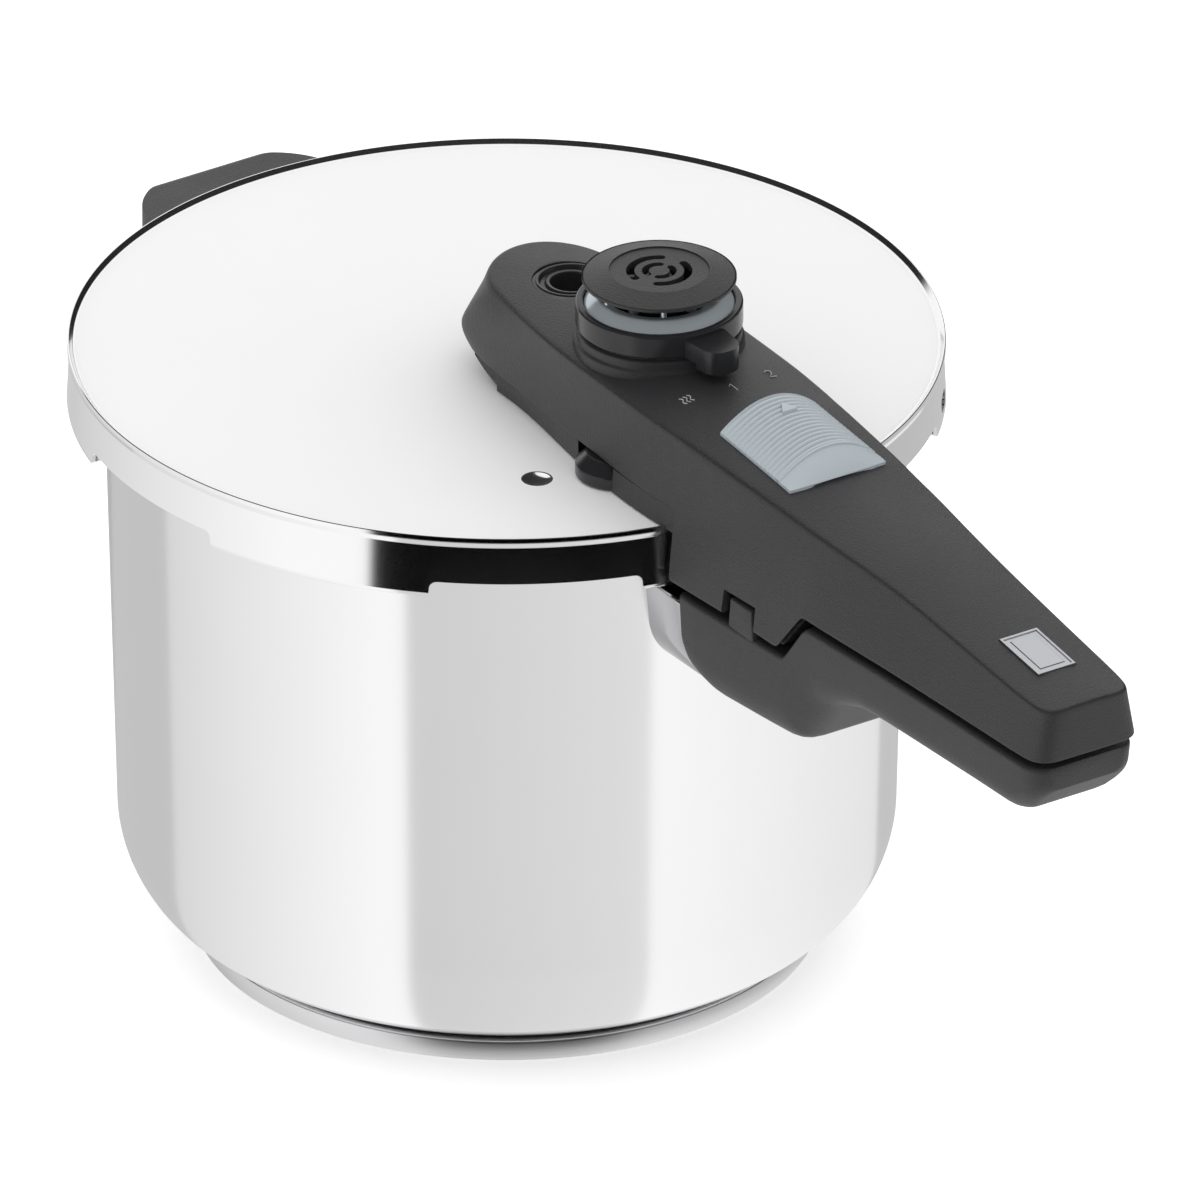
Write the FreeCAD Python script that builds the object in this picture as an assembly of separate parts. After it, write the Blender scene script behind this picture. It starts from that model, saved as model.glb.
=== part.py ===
import FreeCAD, Part
import math
import os

# Stovetop pressure cooker, 22 cm, with a bayonet lid and a selector valve.
# Millimetres and degrees.  +Z is up, the origin is the middle of the base's underside,
# the pot's axis is Z and the long handle points along +X.

V = FreeCAD.Vector
UP = V(0, 0, 1)

# ---- pot ----
INNER_DIAMETER = 220.0     # inside of the pot at its rim
POT_WALL = 0.8
RIM_HEIGHT = 171.3         # top of the rim above the worktop
WALL_DRAFT = 1.4           # the wall leans out by this angle, upwards
FLOOR_RADIUS = 33.0        # outside radius between wall and floor
BASE_DIAMETER = 173.4
BASE_THICKNESS = 6.2
BASE_SHEET = 0.7
RIM_LAND = 2.4             # flat rim beyond the outside of the wall
RIM_SHEET = 1.0
LOBE_REACH = 4.5           # bayonet lobes beyond the flat rim
LOBE_ARC = 26.0

# ---- lid ----
LID_OVERHANG = 11.0        # outside of the skirt beyond the inside of the pot
LID_SHEET = 1.2
LID_EDGE_RADIUS = 2.4
GASKET_SPACE = 6.2         # between the rim and the underside of the lid
SKIRT_DEPTH = 13.0         # skirt between the lugs, below the lid's top
LUG_DEPTH = 18.0
LUG_ARC = 32.0
LUG_COUNT = 6
LUG_PLAY = 0.8             # lug below the lobe when the lid is locked
LUG_CORNER = 2.4
DIMPLE_DIAMETER = 8.7
DIMPLE_DEPTH = 1.3
DIMPLE_RADIUS_PLACE = 38.5 # in from the lid's edge
DIMPLE_ANGLE = -28.1
VENT_WIDTH = 9.0           # pressure relief window in the skirt
VENT_HEIGHT = 4.6
VENT_DROP = 14.6
VENT_ANGLE = 50.0

# ---- places along the lid handle, measured from the lid's edge, outwards ----
NOSE_X = -124.7            # innermost point of the handle
NOSE_CENTRE_X = -97.0
INDICATOR_X = -89.1
VALVE_X = -46.1
BUTTON_X = 24.0
STEP_X = 50.0              # foot of the step in the seam between the handles
STEP_LENGTH = 9.5
GRIP_END_X = 162.8
BADGE_X = 136.8

# ---- lid handle ----
COVER_WALL = 2.6
SEAM_HEIGHT = 7.0          # cover's lower edge above the lid
CROWN = 0.0064             # rise of the top over the square of its half width
NOSE_LEAN = 0.49           # lean of the nose, sideways over upwards
NOSE_HEIGHT = 12.0         # of the nose's furthest point above the lid
NOSE_TUCK = 4.8            # the nose draws in by this much down to the seam
PAD_TUCK = 4.5             # and by this much more down to the lid
HANDLE_DROP = 14.0         # the cover hangs this far below the lid's top, outside the rim
GRIP_LIFT = 12.9           # height of the step in the seam
END_RADIUS = 6.0
END_DROP = 5.0             # seam below the lid's top at the far end
RIM_GAP = 0.6              # handle outside the skirt
FLOOR_PLATE = 3.0
TRAY_RECESS = 0.4          # tray's underside above the cover's lower edge
SEAM_GAP = 2.6             # between the lid handle and the pot handle
BADGE_LENGTH = 19.3
BADGE_WIDTH = 12.7
BADGE_THICKNESS = 1.0
STUD_RADIUS = 2.5
STUD_PLACES = (-68.0, -18.0)
SCREW_RADIUS = 1.55
SCREW_HEAD = 3.0
SCREW_HEAD_HEIGHT = 1.6
BOSS_RADIUS = 3.6

# ---- valve, indicator and relief valve ----
COLUMN_RADIUS = 7.0
COLLAR_RADIUS = 23.0
COLLAR_BASE = 37.6         # height above the lid
COLLAR_TOP = 44.5
COLLAR_WALL = 2.1
LEVER_REACH = 34.0
LEVER_WIDTH = 10.0
CAP_RADIUS = 21.2
CAP_TOP = 53.6
CAP_THICKNESS = 2.8
CAP_DISC_RADIUS = 13.8
STEM_RADIUS = 2.0
SPRING_BORE = 4.7
THREAD_RADIUS = 6.0
INDICATOR_BORE = 5.8
INDICATOR_RING = 11.4
PIN_RADIUS = 3.0
PIN_TRAVEL = 8.0
RELIEF_X = -38.6
RELIEF_Y = -19.0
RELIEF_RADIUS = 11.5
RELIEF_BORE = 3.6
PLUNGER_RADIUS = 1.6
RELIEF_THREAD = 4.4
VALVE_FLANGE = 8.6
POST_RING = 15.6           # posts under the cap
POST_COUNT = 6
HUB_RADIUS = 11.0
GROMMET_FLANGE = 7.4
GROMMET_NECK = 5.2
CLIP_DROP = PIN_TRAVEL + 4.2

# ---- lock ----
BUTTON_LENGTH = 34.0
BUTTON_HALF_WIDTH = 15.75
BUTTON_RISE = 5.4
BUTTON_TILT = 5.5
BUTTON_HEIGHT = 30.4       # underside of the button above the lid
RIB_COUNT = 15
RIB_DEPTH = 0.5
LOCK_TRAVEL = 6.0
BAR_HALF_WIDTH = 7.0
BAR_THICKNESS = 4.0
BAR_DROP = 15.0            # underside of the button down to the underside of the bar
NECK_HALF_WIDTH = 4.0      # from here, places along the button's own frame
NECK_X0 = -7.0
NECK_X1 = 7.0
LATCH_X0 = 6.0
LATCH_X1 = 13.0
LATCH_HALF_WIDTH = 5.0
LOCK_SCREWS = (-3.6, 3.6)
BAR_FRONT = -41.0
BAR_BACK = 17.0
SPRING_LENGTH = 12.0
GUIDE_ROD = 1.6

# ---- pot handle and side handle ----
ROOT_DEPTH = 49.0          # underside of the handle's root below the lid's top
GRIP_THICKNESS = 19.0
BRACKET_SHEET = 2.5
SIDE_REACH = 40.0          # side handle beyond the pot's wall
SIDE_HALF_WIDTH = 34.0
SIDE_TOP = 10.0            # below the lid's top
SIDE_THICKNESS = 18.0
SIDE_TONGUE_DEPTH = 24.0
SIDE_SCREW = 16.0          # out from the wall
TONGUE_DEPTH = 27.0        # pot bracket's tongue below the lid's top
TONGUE_HALF_WIDTH = 10.0
TONGUE_END = 37.0
HANDLE_SCREW_X = 28.0
SCREW_M5 = 2.5
TAB_X0 = 26.4              # tab on the pot handle, from the lid's edge
TAB_X1 = 38.3
TAB_RISE = 8.5
TAB_THICKNESS = 3.2
TAB_CLEAR = 2.1

# ---- clearances ----
RUN_FIT = 0.06             # radial, turning or sliding fits
FREE = 0.35                # radial, moving parts that don't guide each other
SEAT = 0.05                # fixed parts beside each other
GUIDE = 0.4                # lock bar beside its rails
TRAY_FIT = 0.3             # tray inside the cover's walls

# ---- sizes that follow ----
POT_R = INNER_DIAMETER / 2
WALL_R = POT_R + POT_WALL
LID_R = POT_R + LID_OVERHANG
LAND_R = WALL_R + RIM_LAND
LOBE_R = LAND_R + LOBE_REACH
LUG_R = LAND_R + FREE + SEAT
LID_TOP = RIM_HEIGHT + GASKET_SPACE + LID_SHEET
LID_UNDER = RIM_HEIGHT + GASKET_SPACE
LUG_TOP = LID_TOP - LUG_DEPTH + LID_SHEET
LUG_PITCH = 360.0 / LUG_COUNT
CROWN_RADIUS = 1 / (2 * CROWN)
RELIEF_POINT = V(LID_R + RELIEF_X, RELIEF_Y, 0)
VALVE_POINT = V(LID_R + VALVE_X, 0, 0)
INDICATOR_POINT = V(LID_R + INDICATOR_X, 0, 0)

# The handle's cross sections: distance from the lid's edge, half width and height of the
# crease along its top, half width and height at its lower edge.
OUTER = GRIP_END_X - STEP_X
STATIONS = [
    (-134.0, 19.2, 28.8, 19.6, 7.0),
    (-99.0, 20.8, 29.7, 20.2, 7.0),
    (-54.0, 25.3, 30.3, 24.9, 7.0),
    (-16.0, 25.2, 29.0, 27.4, 7.0),
    (11.0, 23.8, 27.5, 28.2, -14.0),
    (37.0, 22.1, 25.3, 26.8, -14.0),
    (STEP_X + 0.12 * OUTER, 19.8, 22.6, 24.9, -1.2),
    (STEP_X + 0.37 * OUTER, 16.7, 19.9, 22.1, -2.2),
    (STEP_X + 0.70 * OUTER, 15.6, 14.4, 19.4, -3.7),
    (GRIP_END_X, 14.6, 9.9, 17.4, -5.0),
    (GRIP_END_X + 8.0, 14.3, 8.9, 16.8, -5.2),
]
LOFT_FLOOR = -24.0


def at(x):
    """Distance from the pot's axis of a place given from the lid's edge."""
    return LID_R + x


def station(x):
    """The handle's section values at a place between two stations."""
    for low, high in zip(STATIONS, STATIONS[1:]):
        if low[0] <= x <= high[0]:
            share = (x - low[0]) / (high[0] - low[0])
            return [a + share * (b - a) for a, b in zip(low, high)]
    raise ValueError("place outside the handle: %s" % x)


def rounded(corners, place):
    """Closed wire through corners (a, b, radius), with place(a, b) putting them in space."""
    joints = []
    count = len(corners)
    for i, (a, b, radius) in enumerate(corners):
        here = V(a, b, 0)
        before = V(corners[i - 1][0], corners[i - 1][1], 0)
        after = V(corners[(i + 1) % count][0], corners[(i + 1) % count][1], 0)
        if not radius:
            joints.append([here])
            continue
        back = (before - here).normalize()
        ahead = (after - here).normalize()
        half = back.getAngle(ahead) / 2
        reach = radius / math.tan(half)
        middle = (back + ahead).normalize() * (radius / math.sin(half) - radius)
        joints.append([here + back * reach, here + middle, here + ahead * reach])
    edges = []
    for i, joint in enumerate(joints):
        points = [place(p.x, p.y) for p in joint]
        if len(points) == 3:
            edges.append(Part.Arc(*points).toShape())
        following = joints[(i + 1) % count][0]
        end = place(following.x, following.y)
        if (points[-1] - end).Length > 1e-6:
            edges.append(Part.LineSegment(points[-1], end).toShape())
    return Part.Wire(edges)


def flat(points):
    """Corners without radii."""
    return [(a, b, 0) for a, b in points]


def turned(corners, centre=V(0, 0, 0), start=0.0, arc=360.0):
    """Solid of revolution about a vertical axis, from corners (radius, z, corner radius)."""
    wire = rounded(corners, lambda r, z: V(r, 0, z))
    solid = Part.Face(wire).revolve(V(0, 0, 0), UP, arc)
    solid.rotate(V(0, 0, 0), UP, start)
    solid.translate(V(centre.x, centre.y, 0))
    return solid


def side_prism(corners, half_width):
    """Solid of corners (x, z, radius), as wide as given to both sides of y = 0."""
    wire = rounded(corners, lambda x, z: V(x, -half_width, z))
    return Part.Face(wire).extrude(V(0, 2 * half_width, 0))


def plan_prism(corners, low, high):
    """Upright solid of corners (x, y, radius)."""
    wire = rounded(corners, lambda x, y: V(x, y, low))
    return Part.Face(wire).extrude(V(0, 0, high - low))


def block(x0, x1, half_width, z0, z1):
    return Part.makeBox(x1 - x0, 2 * half_width, z1 - z0, V(x0, -half_width, z0))


def rod(radius, z0, z1, x=0.0, y=0.0):
    return Part.makeCylinder(radius, z1 - z0, V(x, y, z0))


def tube(inner, outer, z0, z1, x=0.0, y=0.0):
    return rod(outer, z0, z1, x, y).cut(rod(inner, z0 - 1, z1 + 1, x, y))


def hexagon(flats, z0, z1, x=0.0, y=0.0):
    reach = flats / 2 / math.cos(math.pi / 6)
    turns = [math.pi / 3 * i for i in range(6)]
    points = [(x + reach * math.cos(t), y + reach * math.sin(t)) for t in turns]
    return plan_prism(flat(points), z0, z1)


def coil(mean_radius, wire_radius, length, turns):
    """Helical spring on the Z axis, standing on z = 0, its ends cut flat."""
    pitch = length / turns
    helix = Part.makeHelix(pitch, length, mean_radius)
    section = Part.Wire([Part.Circle(V(mean_radius, 0, 0), V(0, 1, 0), wire_radius).toShape()])
    spring = Part.Wire(helix.Edges).makePipeShell([section], True, True)
    outer = mean_radius + 2 * wire_radius
    return spring.common(rod(outer, 0, length))


def joined(*shapes):
    return shapes[0].multiFuse(list(shapes[1:])).removeSplitter()


def polar(radius, angle):
    turn = math.radians(angle)
    return V(radius * math.cos(turn), radius * math.sin(turn), 0)


def save(name, shape):
    if not shape.isValid() or shape.Volume <= 0:
        raise ValueError("bad solid: %s" % name)
    shape.exportStep("parts/%s.step" % name)
    print("%-22s %10.1f mm3  %d" % (name, shape.Volume, len(shape.Solids)))


# ---- pot ----

def wall_radius(z):
    """Outside of the pot's wall at a height."""
    return WALL_R - (RIM_HEIGHT - z) * math.tan(math.radians(WALL_DRAFT))


def pot_skin(inset):
    """Corners of the pot's outside, or of its inside when inset by the wall."""
    floor = BASE_THICKNESS + inset
    return [
        (0, floor, 0),
        (wall_radius(floor) - inset, floor, FLOOR_RADIUS - inset),
        (WALL_R - inset, RIM_HEIGHT, 0),
        (0, RIM_HEIGHT, 0),
    ]


def pot_envelope():
    return turned(pot_skin(0))


def pot_shell():
    inside = pot_skin(POT_WALL)
    inside[2] = (POT_R, RIM_HEIGHT, 0)
    body = pot_envelope().cut(turned(inside))
    under = RIM_HEIGHT - RIM_SHEET
    land = turned(flat([
        (POT_R + POT_WALL / 2, under), (LAND_R, under),
        (LAND_R, RIM_HEIGHT), (POT_R + POT_WALL / 2, RIM_HEIGHT),
    ]))
    lip = LUG_TOP + LUG_PLAY
    hook = [
        (LAND_R - RIM_SHEET, under, 0), (LOBE_R - RIM_SHEET, under, 0),
        (LOBE_R - RIM_SHEET, lip, 0), (LOBE_R, lip, 0),
        (LOBE_R, RIM_HEIGHT, RIM_SHEET), (LAND_R - RIM_SHEET, RIM_HEIGHT, 0),
    ]
    lobes = [
        turned(hook, start=LUG_PITCH * i - LOBE_ARC / 2, arc=LOBE_ARC)
        for i in range(LUG_COUNT)
    ]
    return joined(body, land, *lobes)


def base_parts():
    """The conducting disc and the sheet cap pressed round it."""
    radius = BASE_DIAMETER / 2
    outside = turned([
        (0, 0, 0), (radius, 0, 1.2), (radius, BASE_THICKNESS, 0), (0, BASE_THICKNESS, 0),
    ])
    inner = radius - BASE_SHEET
    core = turned([
        (0, BASE_SHEET, 0), (inner, BASE_SHEET, 0.5),
        (inner, BASE_THICKNESS, 0), (0, BASE_THICKNESS, 0),
    ])
    return core, outside.cut(core)


# ---- lid ----

def notch():
    """Cuts the skirt back between two lugs, at +X."""
    half = LID_R * math.sin(math.radians((LUG_PITCH - LUG_ARC) / 2))
    top = LID_TOP - SKIRT_DEPTH
    foot = LID_TOP - LUG_DEPTH
    spread = half + 2 * LUG_CORNER
    corners = [
        (-spread, foot - 1, 0), (-spread, foot, 0), (-half, foot, LUG_CORNER),
        (-half, top, LUG_CORNER), (half, top, LUG_CORNER), (half, foot, LUG_CORNER),
        (spread, foot, 0), (spread, foot - 1, 0),
    ]
    wire = rounded(corners, lambda y, z: V(LUG_R - 5, y, z))
    return Part.Face(wire).extrude(V(LID_OVERHANG + 5, 0, 0))


def lid_shell():
    inner = LID_R - LID_SHEET
    foot = LID_TOP - LUG_DEPTH
    shell = turned([
        (0, LID_TOP, 0), (LID_R, LID_TOP, LID_EDGE_RADIUS), (LID_R, foot, 1.6),
        (LUG_R, foot, 0), (LUG_R, LUG_TOP, 0), (inner, LUG_TOP, 0.4),
        (inner, LID_UNDER, LID_EDGE_RADIUS - LID_SHEET), (0, LID_UNDER, 0),
    ])
    for i in range(LUG_COUNT):
        cutter = notch()
        cutter.rotate(V(0, 0, 0), UP, LUG_PITCH * (i + 0.5))
        shell = shell.cut(cutter)
    half = VENT_WIDTH / 2
    low = LID_TOP - VENT_DROP
    end = VENT_HEIGHT / 2 - 0.1
    window = rounded([
        (-half, low, end), (half, low, end),
        (half, low + VENT_HEIGHT, end), (-half, low + VENT_HEIGHT, end),
    ], lambda y, z: V(LOBE_R, y, z))
    vent = Part.Face(window).extrude(V(LID_OVERHANG, 0, 0))
    vent.rotate(V(0, 0, 0), UP, VENT_ANGLE)
    spot = polar(LID_R - DIMPLE_RADIUS_PLACE, DIMPLE_ANGLE)
    half = DIMPLE_DIAMETER / 2
    bowl = (half * half + DIMPLE_DEPTH * DIMPLE_DEPTH) / (2 * DIMPLE_DEPTH)
    middle = V(spot.x, spot.y, LID_TOP + bowl - DIMPLE_DEPTH)
    under = rod(half, LID_UNDER - DIMPLE_DEPTH - 1, LID_UNDER + 0.2, spot.x, spot.y)
    bump = Part.makeSphere(bowl + LID_SHEET, middle).common(under)
    shell = shell.fuse(bump).cut(Part.makeSphere(bowl, middle))
    for radius, point in (
        (THREAD_RADIUS + SEAT, VALVE_POINT),
        (GROMMET_NECK, INDICATOR_POINT),
        (RELIEF_THREAD + SEAT, RELIEF_POINT),
    ):
        shell = shell.cut(rod(radius, LID_UNDER - 5, LID_TOP + 1, point.x, point.y))
    return shell.cut(vent)


def lid_gasket():
    """Lip seal under the lid, its groove open towards the middle."""
    low = RIM_HEIGHT + SEAT
    high = LID_UNDER - SEAT
    outer = LID_R - LID_SHEET - FREE
    inner = POT_R - 1.6
    bevel = LID_EDGE_RADIUS - LID_SHEET + 0.2
    return turned(flat([
        (inner, low), (outer, low), (outer, high - bevel), (outer - bevel, high),
        (inner, high), (inner, high - 1.6), (inner + 5.6, high - 2.0),
        (inner + 5.6, low + 2.0), (inner, low + 1.6),
    ]))


# ---- lid handle ----

def handle_loft(inset):
    """The handle's whole outer form, or its hollow when inset by the wall."""
    wires = []
    for x, half, high, low_half, low in STATIONS:
        lean = (low_half - half) / (high - low)
        foot = half + lean * (high - LOFT_FLOOR) - inset
        top = high - inset
        edge = half - inset
        z = LID_TOP
        left = V(at(x), -edge, z + top)
        right = V(at(x), edge, z + top)
        crown = V(at(x), 0, z + top + CROWN * half * half)
        a = V(at(x), -foot, z + LOFT_FLOOR)
        b = V(at(x), foot, z + LOFT_FLOOR)
        wires.append(Part.Wire([
            Part.LineSegment(a, left).toShape(),
            Part.Arc(left, crown, right).toShape(),
            Part.LineSegment(right, b).toShape(),
            Part.LineSegment(b, a).toShape(),
        ]))
    return Part.makeLoft(wires, True, False)


def handle_plan(inset):
    """Limits the handle to its rounded nose and its rounded far end."""
    centre = V(at(NOSE_CENTRE_X), 0, 0)
    widest = NOSE_CENTRE_X - NOSE_X - inset
    seam_radius = widest - NOSE_TUCK
    low = LOFT_FLOOR - 2
    high = 60.0
    nose = turned(flat([
        (0, LID_TOP + low), (seam_radius - PAD_TUCK, LID_TOP + low),
        (seam_radius - PAD_TUCK, LID_TOP), (seam_radius, LID_TOP + SEAM_HEIGHT),
        (widest, LID_TOP + NOSE_HEIGHT),
        (widest - NOSE_LEAN * (high - NOSE_HEIGHT), LID_TOP + high), (0, LID_TOP + high),
    ]), centre)
    wide = 60.0
    tip = STATIONS[-2][3] - inset
    grip = plan_prism([
        (at(NOSE_CENTRE_X), -wide, 0), (at(GRIP_END_X) - inset, -tip, END_RADIUS),
        (at(GRIP_END_X) - inset, tip, END_RADIUS), (at(NOSE_CENTRE_X), wide, 0),
    ], LID_TOP + low, LID_TOP + high)
    return nose.fuse(grip)


def seam(offset):
    """Points along the cover's lower edge, from the nose outwards, moved up by offset."""
    z = LID_TOP + offset
    wall = at(RIM_GAP) + max(offset, 0)
    return [
        (wall, z - HANDLE_DROP, 2.0),
        (at(STEP_X), z - HANDLE_DROP, 2.0),
        (at(STEP_X + STEP_LENGTH), z - HANDLE_DROP + GRIP_LIFT, 4.0),
        (at(GRIP_END_X + 10), z - END_DROP, 0),
    ]


def above_seam(offset, inner_floor):
    """Everything above the cover's lower edge."""
    start = at(NOSE_X) - 20
    low = LID_TOP + inner_floor
    edge = seam(offset)
    corners = [(start, low, 0), (edge[0][0], low, 0)] + edge
    corners += [(at(GRIP_END_X + 10), LID_TOP + 60, 0), (start, LID_TOP + 60, 0)]
    return side_prism(corners, 70)


def grip_floor(x):
    """Top of the tray's floor above the lid, at a place in the grip."""
    start = STEP_X + STEP_LENGTH
    slope = (GRIP_LIFT - HANDLE_DROP + END_DROP) / (GRIP_END_X + 10 - start)
    return GRIP_LIFT - HANDLE_DROP - slope * (x - start) + TRAY_RECESS + FLOOR_PLATE


def cover_bosses():
    """Screws (x, y, tray floor above the lid): nose, two beside the lock, one in the grip."""
    grip = GRIP_END_X - 55
    return [
        (at(NOSE_X + 14.5), 0.0, FLOOR_PLATE), (at(-9.0), -14.5, FLOOR_PLATE),
        (at(-9.0), 14.5, FLOOR_PLATE), (at(grip), 0.0, grip_floor(grip - BOSS_RADIUS)),
    ]


def button_place(shape):
    """Moves a shape made in the button's own frame to its place on the handle."""
    shape.rotate(V(0, 0, 0), V(0, 1, 0), BUTTON_TILT)
    shape.translate(V(at(BUTTON_X), 0, LID_TOP + BUTTON_HEIGHT))
    return shape


def arch(low_radius, half_width, x0, x1, top):
    """Space over the button's curved underside, in the button's frame."""
    drop = half_width * half_width / (2 * low_radius)
    wire = Part.Wire([
        Part.Arc(V(x0, -half_width, -drop), V(x0, 0, 0), V(x0, half_width, -drop)).toShape(),
        Part.LineSegment(V(x0, half_width, -drop), V(x0, half_width, top)).toShape(),
        Part.LineSegment(V(x0, half_width, top), V(x0, -half_width, top)).toShape(),
        Part.LineSegment(V(x0, -half_width, top), V(x0, -half_width, -drop)).toShape(),
    ])
    return Part.Face(wire).extrude(V(x1 - x0, 0, 0))


def lid_handle_cover():
    outer = handle_loft(0).common(handle_plan(0))
    ped_top = LID_TOP + COLLAR_BASE - FREE
    pedestal = turned(flat([
        (0, LID_TOP + 26), (COLLAR_RADIUS + 5.2, LID_TOP + 26),
        (COLLAR_RADIUS + 1.6, ped_top), (0, ped_top),
    ]), VALVE_POINT)
    outer = outer.fuse(pedestal).common(above_seam(0, SEAM_HEIGHT))
    hollow = handle_loft(COVER_WALL).common(handle_plan(COVER_WALL))
    hollow = hollow.common(above_seam(-30, LOFT_FLOOR))
    cover = outer.cut(hollow)
    z = LID_TOP
    for x, y, floor in cover_bosses():
        foot = z + floor + SEAT
        boss = rod(BOSS_RADIUS, foot, z + 60, x, y).common(handle_loft(1).common(handle_plan(1)))
        cover = cover.fuse(boss).cut(rod(1.6, foot - 1, foot + 9, x, y))
    chimney = tube(COLUMN_RADIUS + 3.4, COLUMN_RADIUS + 5.4, z + 25.5, ped_top,
                   VALVE_POINT.x, VALVE_POINT.y)
    cover = cover.cut(rod(COLUMN_RADIUS + 3.4, z + 20, z + 60, VALVE_POINT.x, 0))
    cover = cover.fuse(chimney)
    ring = INDICATOR_RING + SEAT
    sleeve = tube(ring, ring + 2.1, z + 24, z + 33, INDICATOR_POINT.x, 0)
    cover = cover.fuse(sleeve.common(handle_loft(1)))
    cover = cover.cut(rod(ring, z + 20, z + 60, INDICATOR_POINT.x, 0))
    cover = cover.cut(rod(ring + 2.1, z + 33.2, z + 60, INDICATOR_POINT.x, 0))
    seat = arch(CROWN_RADIUS, BUTTON_HALF_WIDTH + FREE,
                -BUTTON_LENGTH / 2 - LOCK_TRAVEL - FREE, BUTTON_LENGTH / 2 + FREE, 12)
    seat.translate(V(0, 0, -FREE))
    slot = block(NECK_X0 - LOCK_TRAVEL - GUIDE, NECK_X1 + GUIDE, NECK_HALF_WIDTH + GUIDE, -9, 9)
    cover = cover.cut(button_place(seat)).cut(button_place(slot))
    cover = cover.cut(badge_plate(SEAT, 6.0))
    return cover.cut(tab_recess()).removeSplitter()


def badge_plate(margin, height):
    """The plate let into the grip's top, or the pocket that takes it."""
    x, half, high = station(BADGE_X)[:3]
    slope = (station(BADGE_X + 8)[2] - station(BADGE_X - 8)[2]) / 16
    length = BADGE_LENGTH / 2 + margin
    width = BADGE_WIDTH / 2 + margin
    plate = plan_prism([
        (-length, -width, 1.2), (length, -width, 1.2),
        (length, width, 1.2), (-length, width, 1.2),
    ], -BADGE_THICKNESS, height)
    plate.rotate(V(0, 0, 0), V(0, 1, 0), -math.degrees(math.atan(slope)))
    crown = high + CROWN * half * half - 0.5
    plate.translate(V(at(x), 0, LID_TOP + crown))
    return plate


def tab_corners(margin, top):
    low = LID_TOP - HANDLE_DROP - 30
    return [
        (at(TAB_X0) - 2.2 * margin, low, 0), (at(TAB_X1) + 1.3 * margin, low, 0),
        (at(TAB_X1) + margin, top, 0.8), (at(TAB_X0 + 1.0) - 2.5 * margin, top, 0.8),
    ]


def tab_limit():
    """The strip along the handle's -Y edge where the tab stands."""
    return station(TAB_X0)[3] - COVER_WALL - TAB_THICKNESS


def tab_recess():
    top = LID_TOP - HANDLE_DROP - SEAM_GAP + TAB_RISE + TAB_CLEAR
    recess = side_prism(tab_corners(TAB_CLEAR, top), 45)
    keep = Part.makeBox(400, 200, 200, V(0, -tab_limit() + 0.5, LID_TOP - 100))
    return recess.cut(keep)


def lid_handle_base():
    """Tray that closes the cover from below and stands on the lid."""
    z = LID_TOP
    edge = seam(TRAY_RECESS)
    top = seam(TRAY_RECESS + FLOOR_PLATE)
    inner_wall = edge[0][0] + FLOOR_PLATE
    end = at(GRIP_END_X) - COVER_WALL - TRAY_FIT
    low_edge = [(edge[0][0], edge[0][1], 0.6)] + edge[1:]
    plate = [(at(NOSE_X) - 10, z + SEAT, 0), (edge[0][0], z + SEAT, 0)] + low_edge
    plate += [(at(GRIP_END_X + 10), top[3][1], 0), top[2], top[1]]
    plate += [(inner_wall, top[0][1], 0), (inner_wall, z + FLOOR_PLATE, 0)]
    plate += [(at(NOSE_X) - 10, z + FLOOR_PLATE, 0)]
    inset = COVER_WALL + TRAY_FIT
    inside = handle_loft(inset).common(handle_plan(inset))
    tray = side_prism(plate, 70).common(inside)
    tray = tray.common(block(0, end, 70, z - 60, z + 60))
    skirt = handle_loft(0.7).common(handle_plan(0.7))
    well = handle_loft(0.7 + 2.6).common(handle_plan(0.7 + 2.6))
    pad_end = at(RIM_GAP) - SEAT
    pad = skirt.common(block(0, pad_end, 70, z + SEAT, z + SEAM_HEIGHT - SEAT))
    pad = pad.cut(well.common(block(0, pad_end - 2.0, 70, z + FLOOR_PLATE, z + 40)))
    tray = tray.fuse(pad)
    rails = button_place(block(-18, 22, BAR_HALF_WIDTH + GUIDE + 2, -40, -BAR_DROP + BAR_THICKNESS))
    rails = rails.cut(button_place(block(-40, 40, BAR_HALF_WIDTH + GUIDE, -60, 20)))
    rails = rails.common(block(inner_wall, at(STEP_X - 3), 70, edge[0][1] + 1, z + 40))
    stop = block(at(-33.6), at(-30.8), 8, z + 1, z + 19)
    tray = tray.fuse(rails).fuse(stop)
    tray = tray.cut(button_place(guide_hole()))
    slot = button_place(block(LATCH_X0 - LOCK_TRAVEL - GUIDE, LATCH_X1 + GUIDE,
                              LATCH_HALF_WIDTH + GUIDE, -80, -BAR_DROP - 6))
    tray = tray.cut(slot)
    for point, radius in (
        (VALVE_POINT, VALVE_FLANGE + SEAT), (INDICATOR_POINT, GROMMET_FLANGE + 0.3),
        (RELIEF_POINT, RELIEF_RADIUS + 0.3),
    ):
        tray = tray.cut(rod(radius, z - 1, z + 19, point.x, point.y))
    for x in STUD_PLACES:
        tray = tray.cut(rod(STUD_RADIUS + 0.3, z - 1, z + 9, at(x), 0))
    for x, y, floor in cover_bosses():
        low = z + floor - FLOOR_PLATE
        tray = tray.cut(rod(SCREW_RADIUS + SEAT, low - 1, low + 6, x, y))
        tray = tray.cut(rod(SCREW_HEAD + SEAT, low - 4, low + SCREW_HEAD_HEIGHT, x, y))
    tray = tray.cut(tab_recess())
    return tray.removeSplitter()


def bar_axis_height():
    """Middle of the lock bar in the button's frame."""
    return -BAR_DROP + BAR_THICKNESS / 2


def along_button(shape):
    """Turns a shape made along +Z so that it runs towards the valve, in the button's frame."""
    shape.rotate(V(0, 0, 0), V(0, 1, 0), -90)
    shape.translate(V(BAR_FRONT, 0, bar_axis_height()))
    return shape


def guide_hole():
    return along_button(rod(GUIDE_ROD + FREE, 0, 40))


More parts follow.
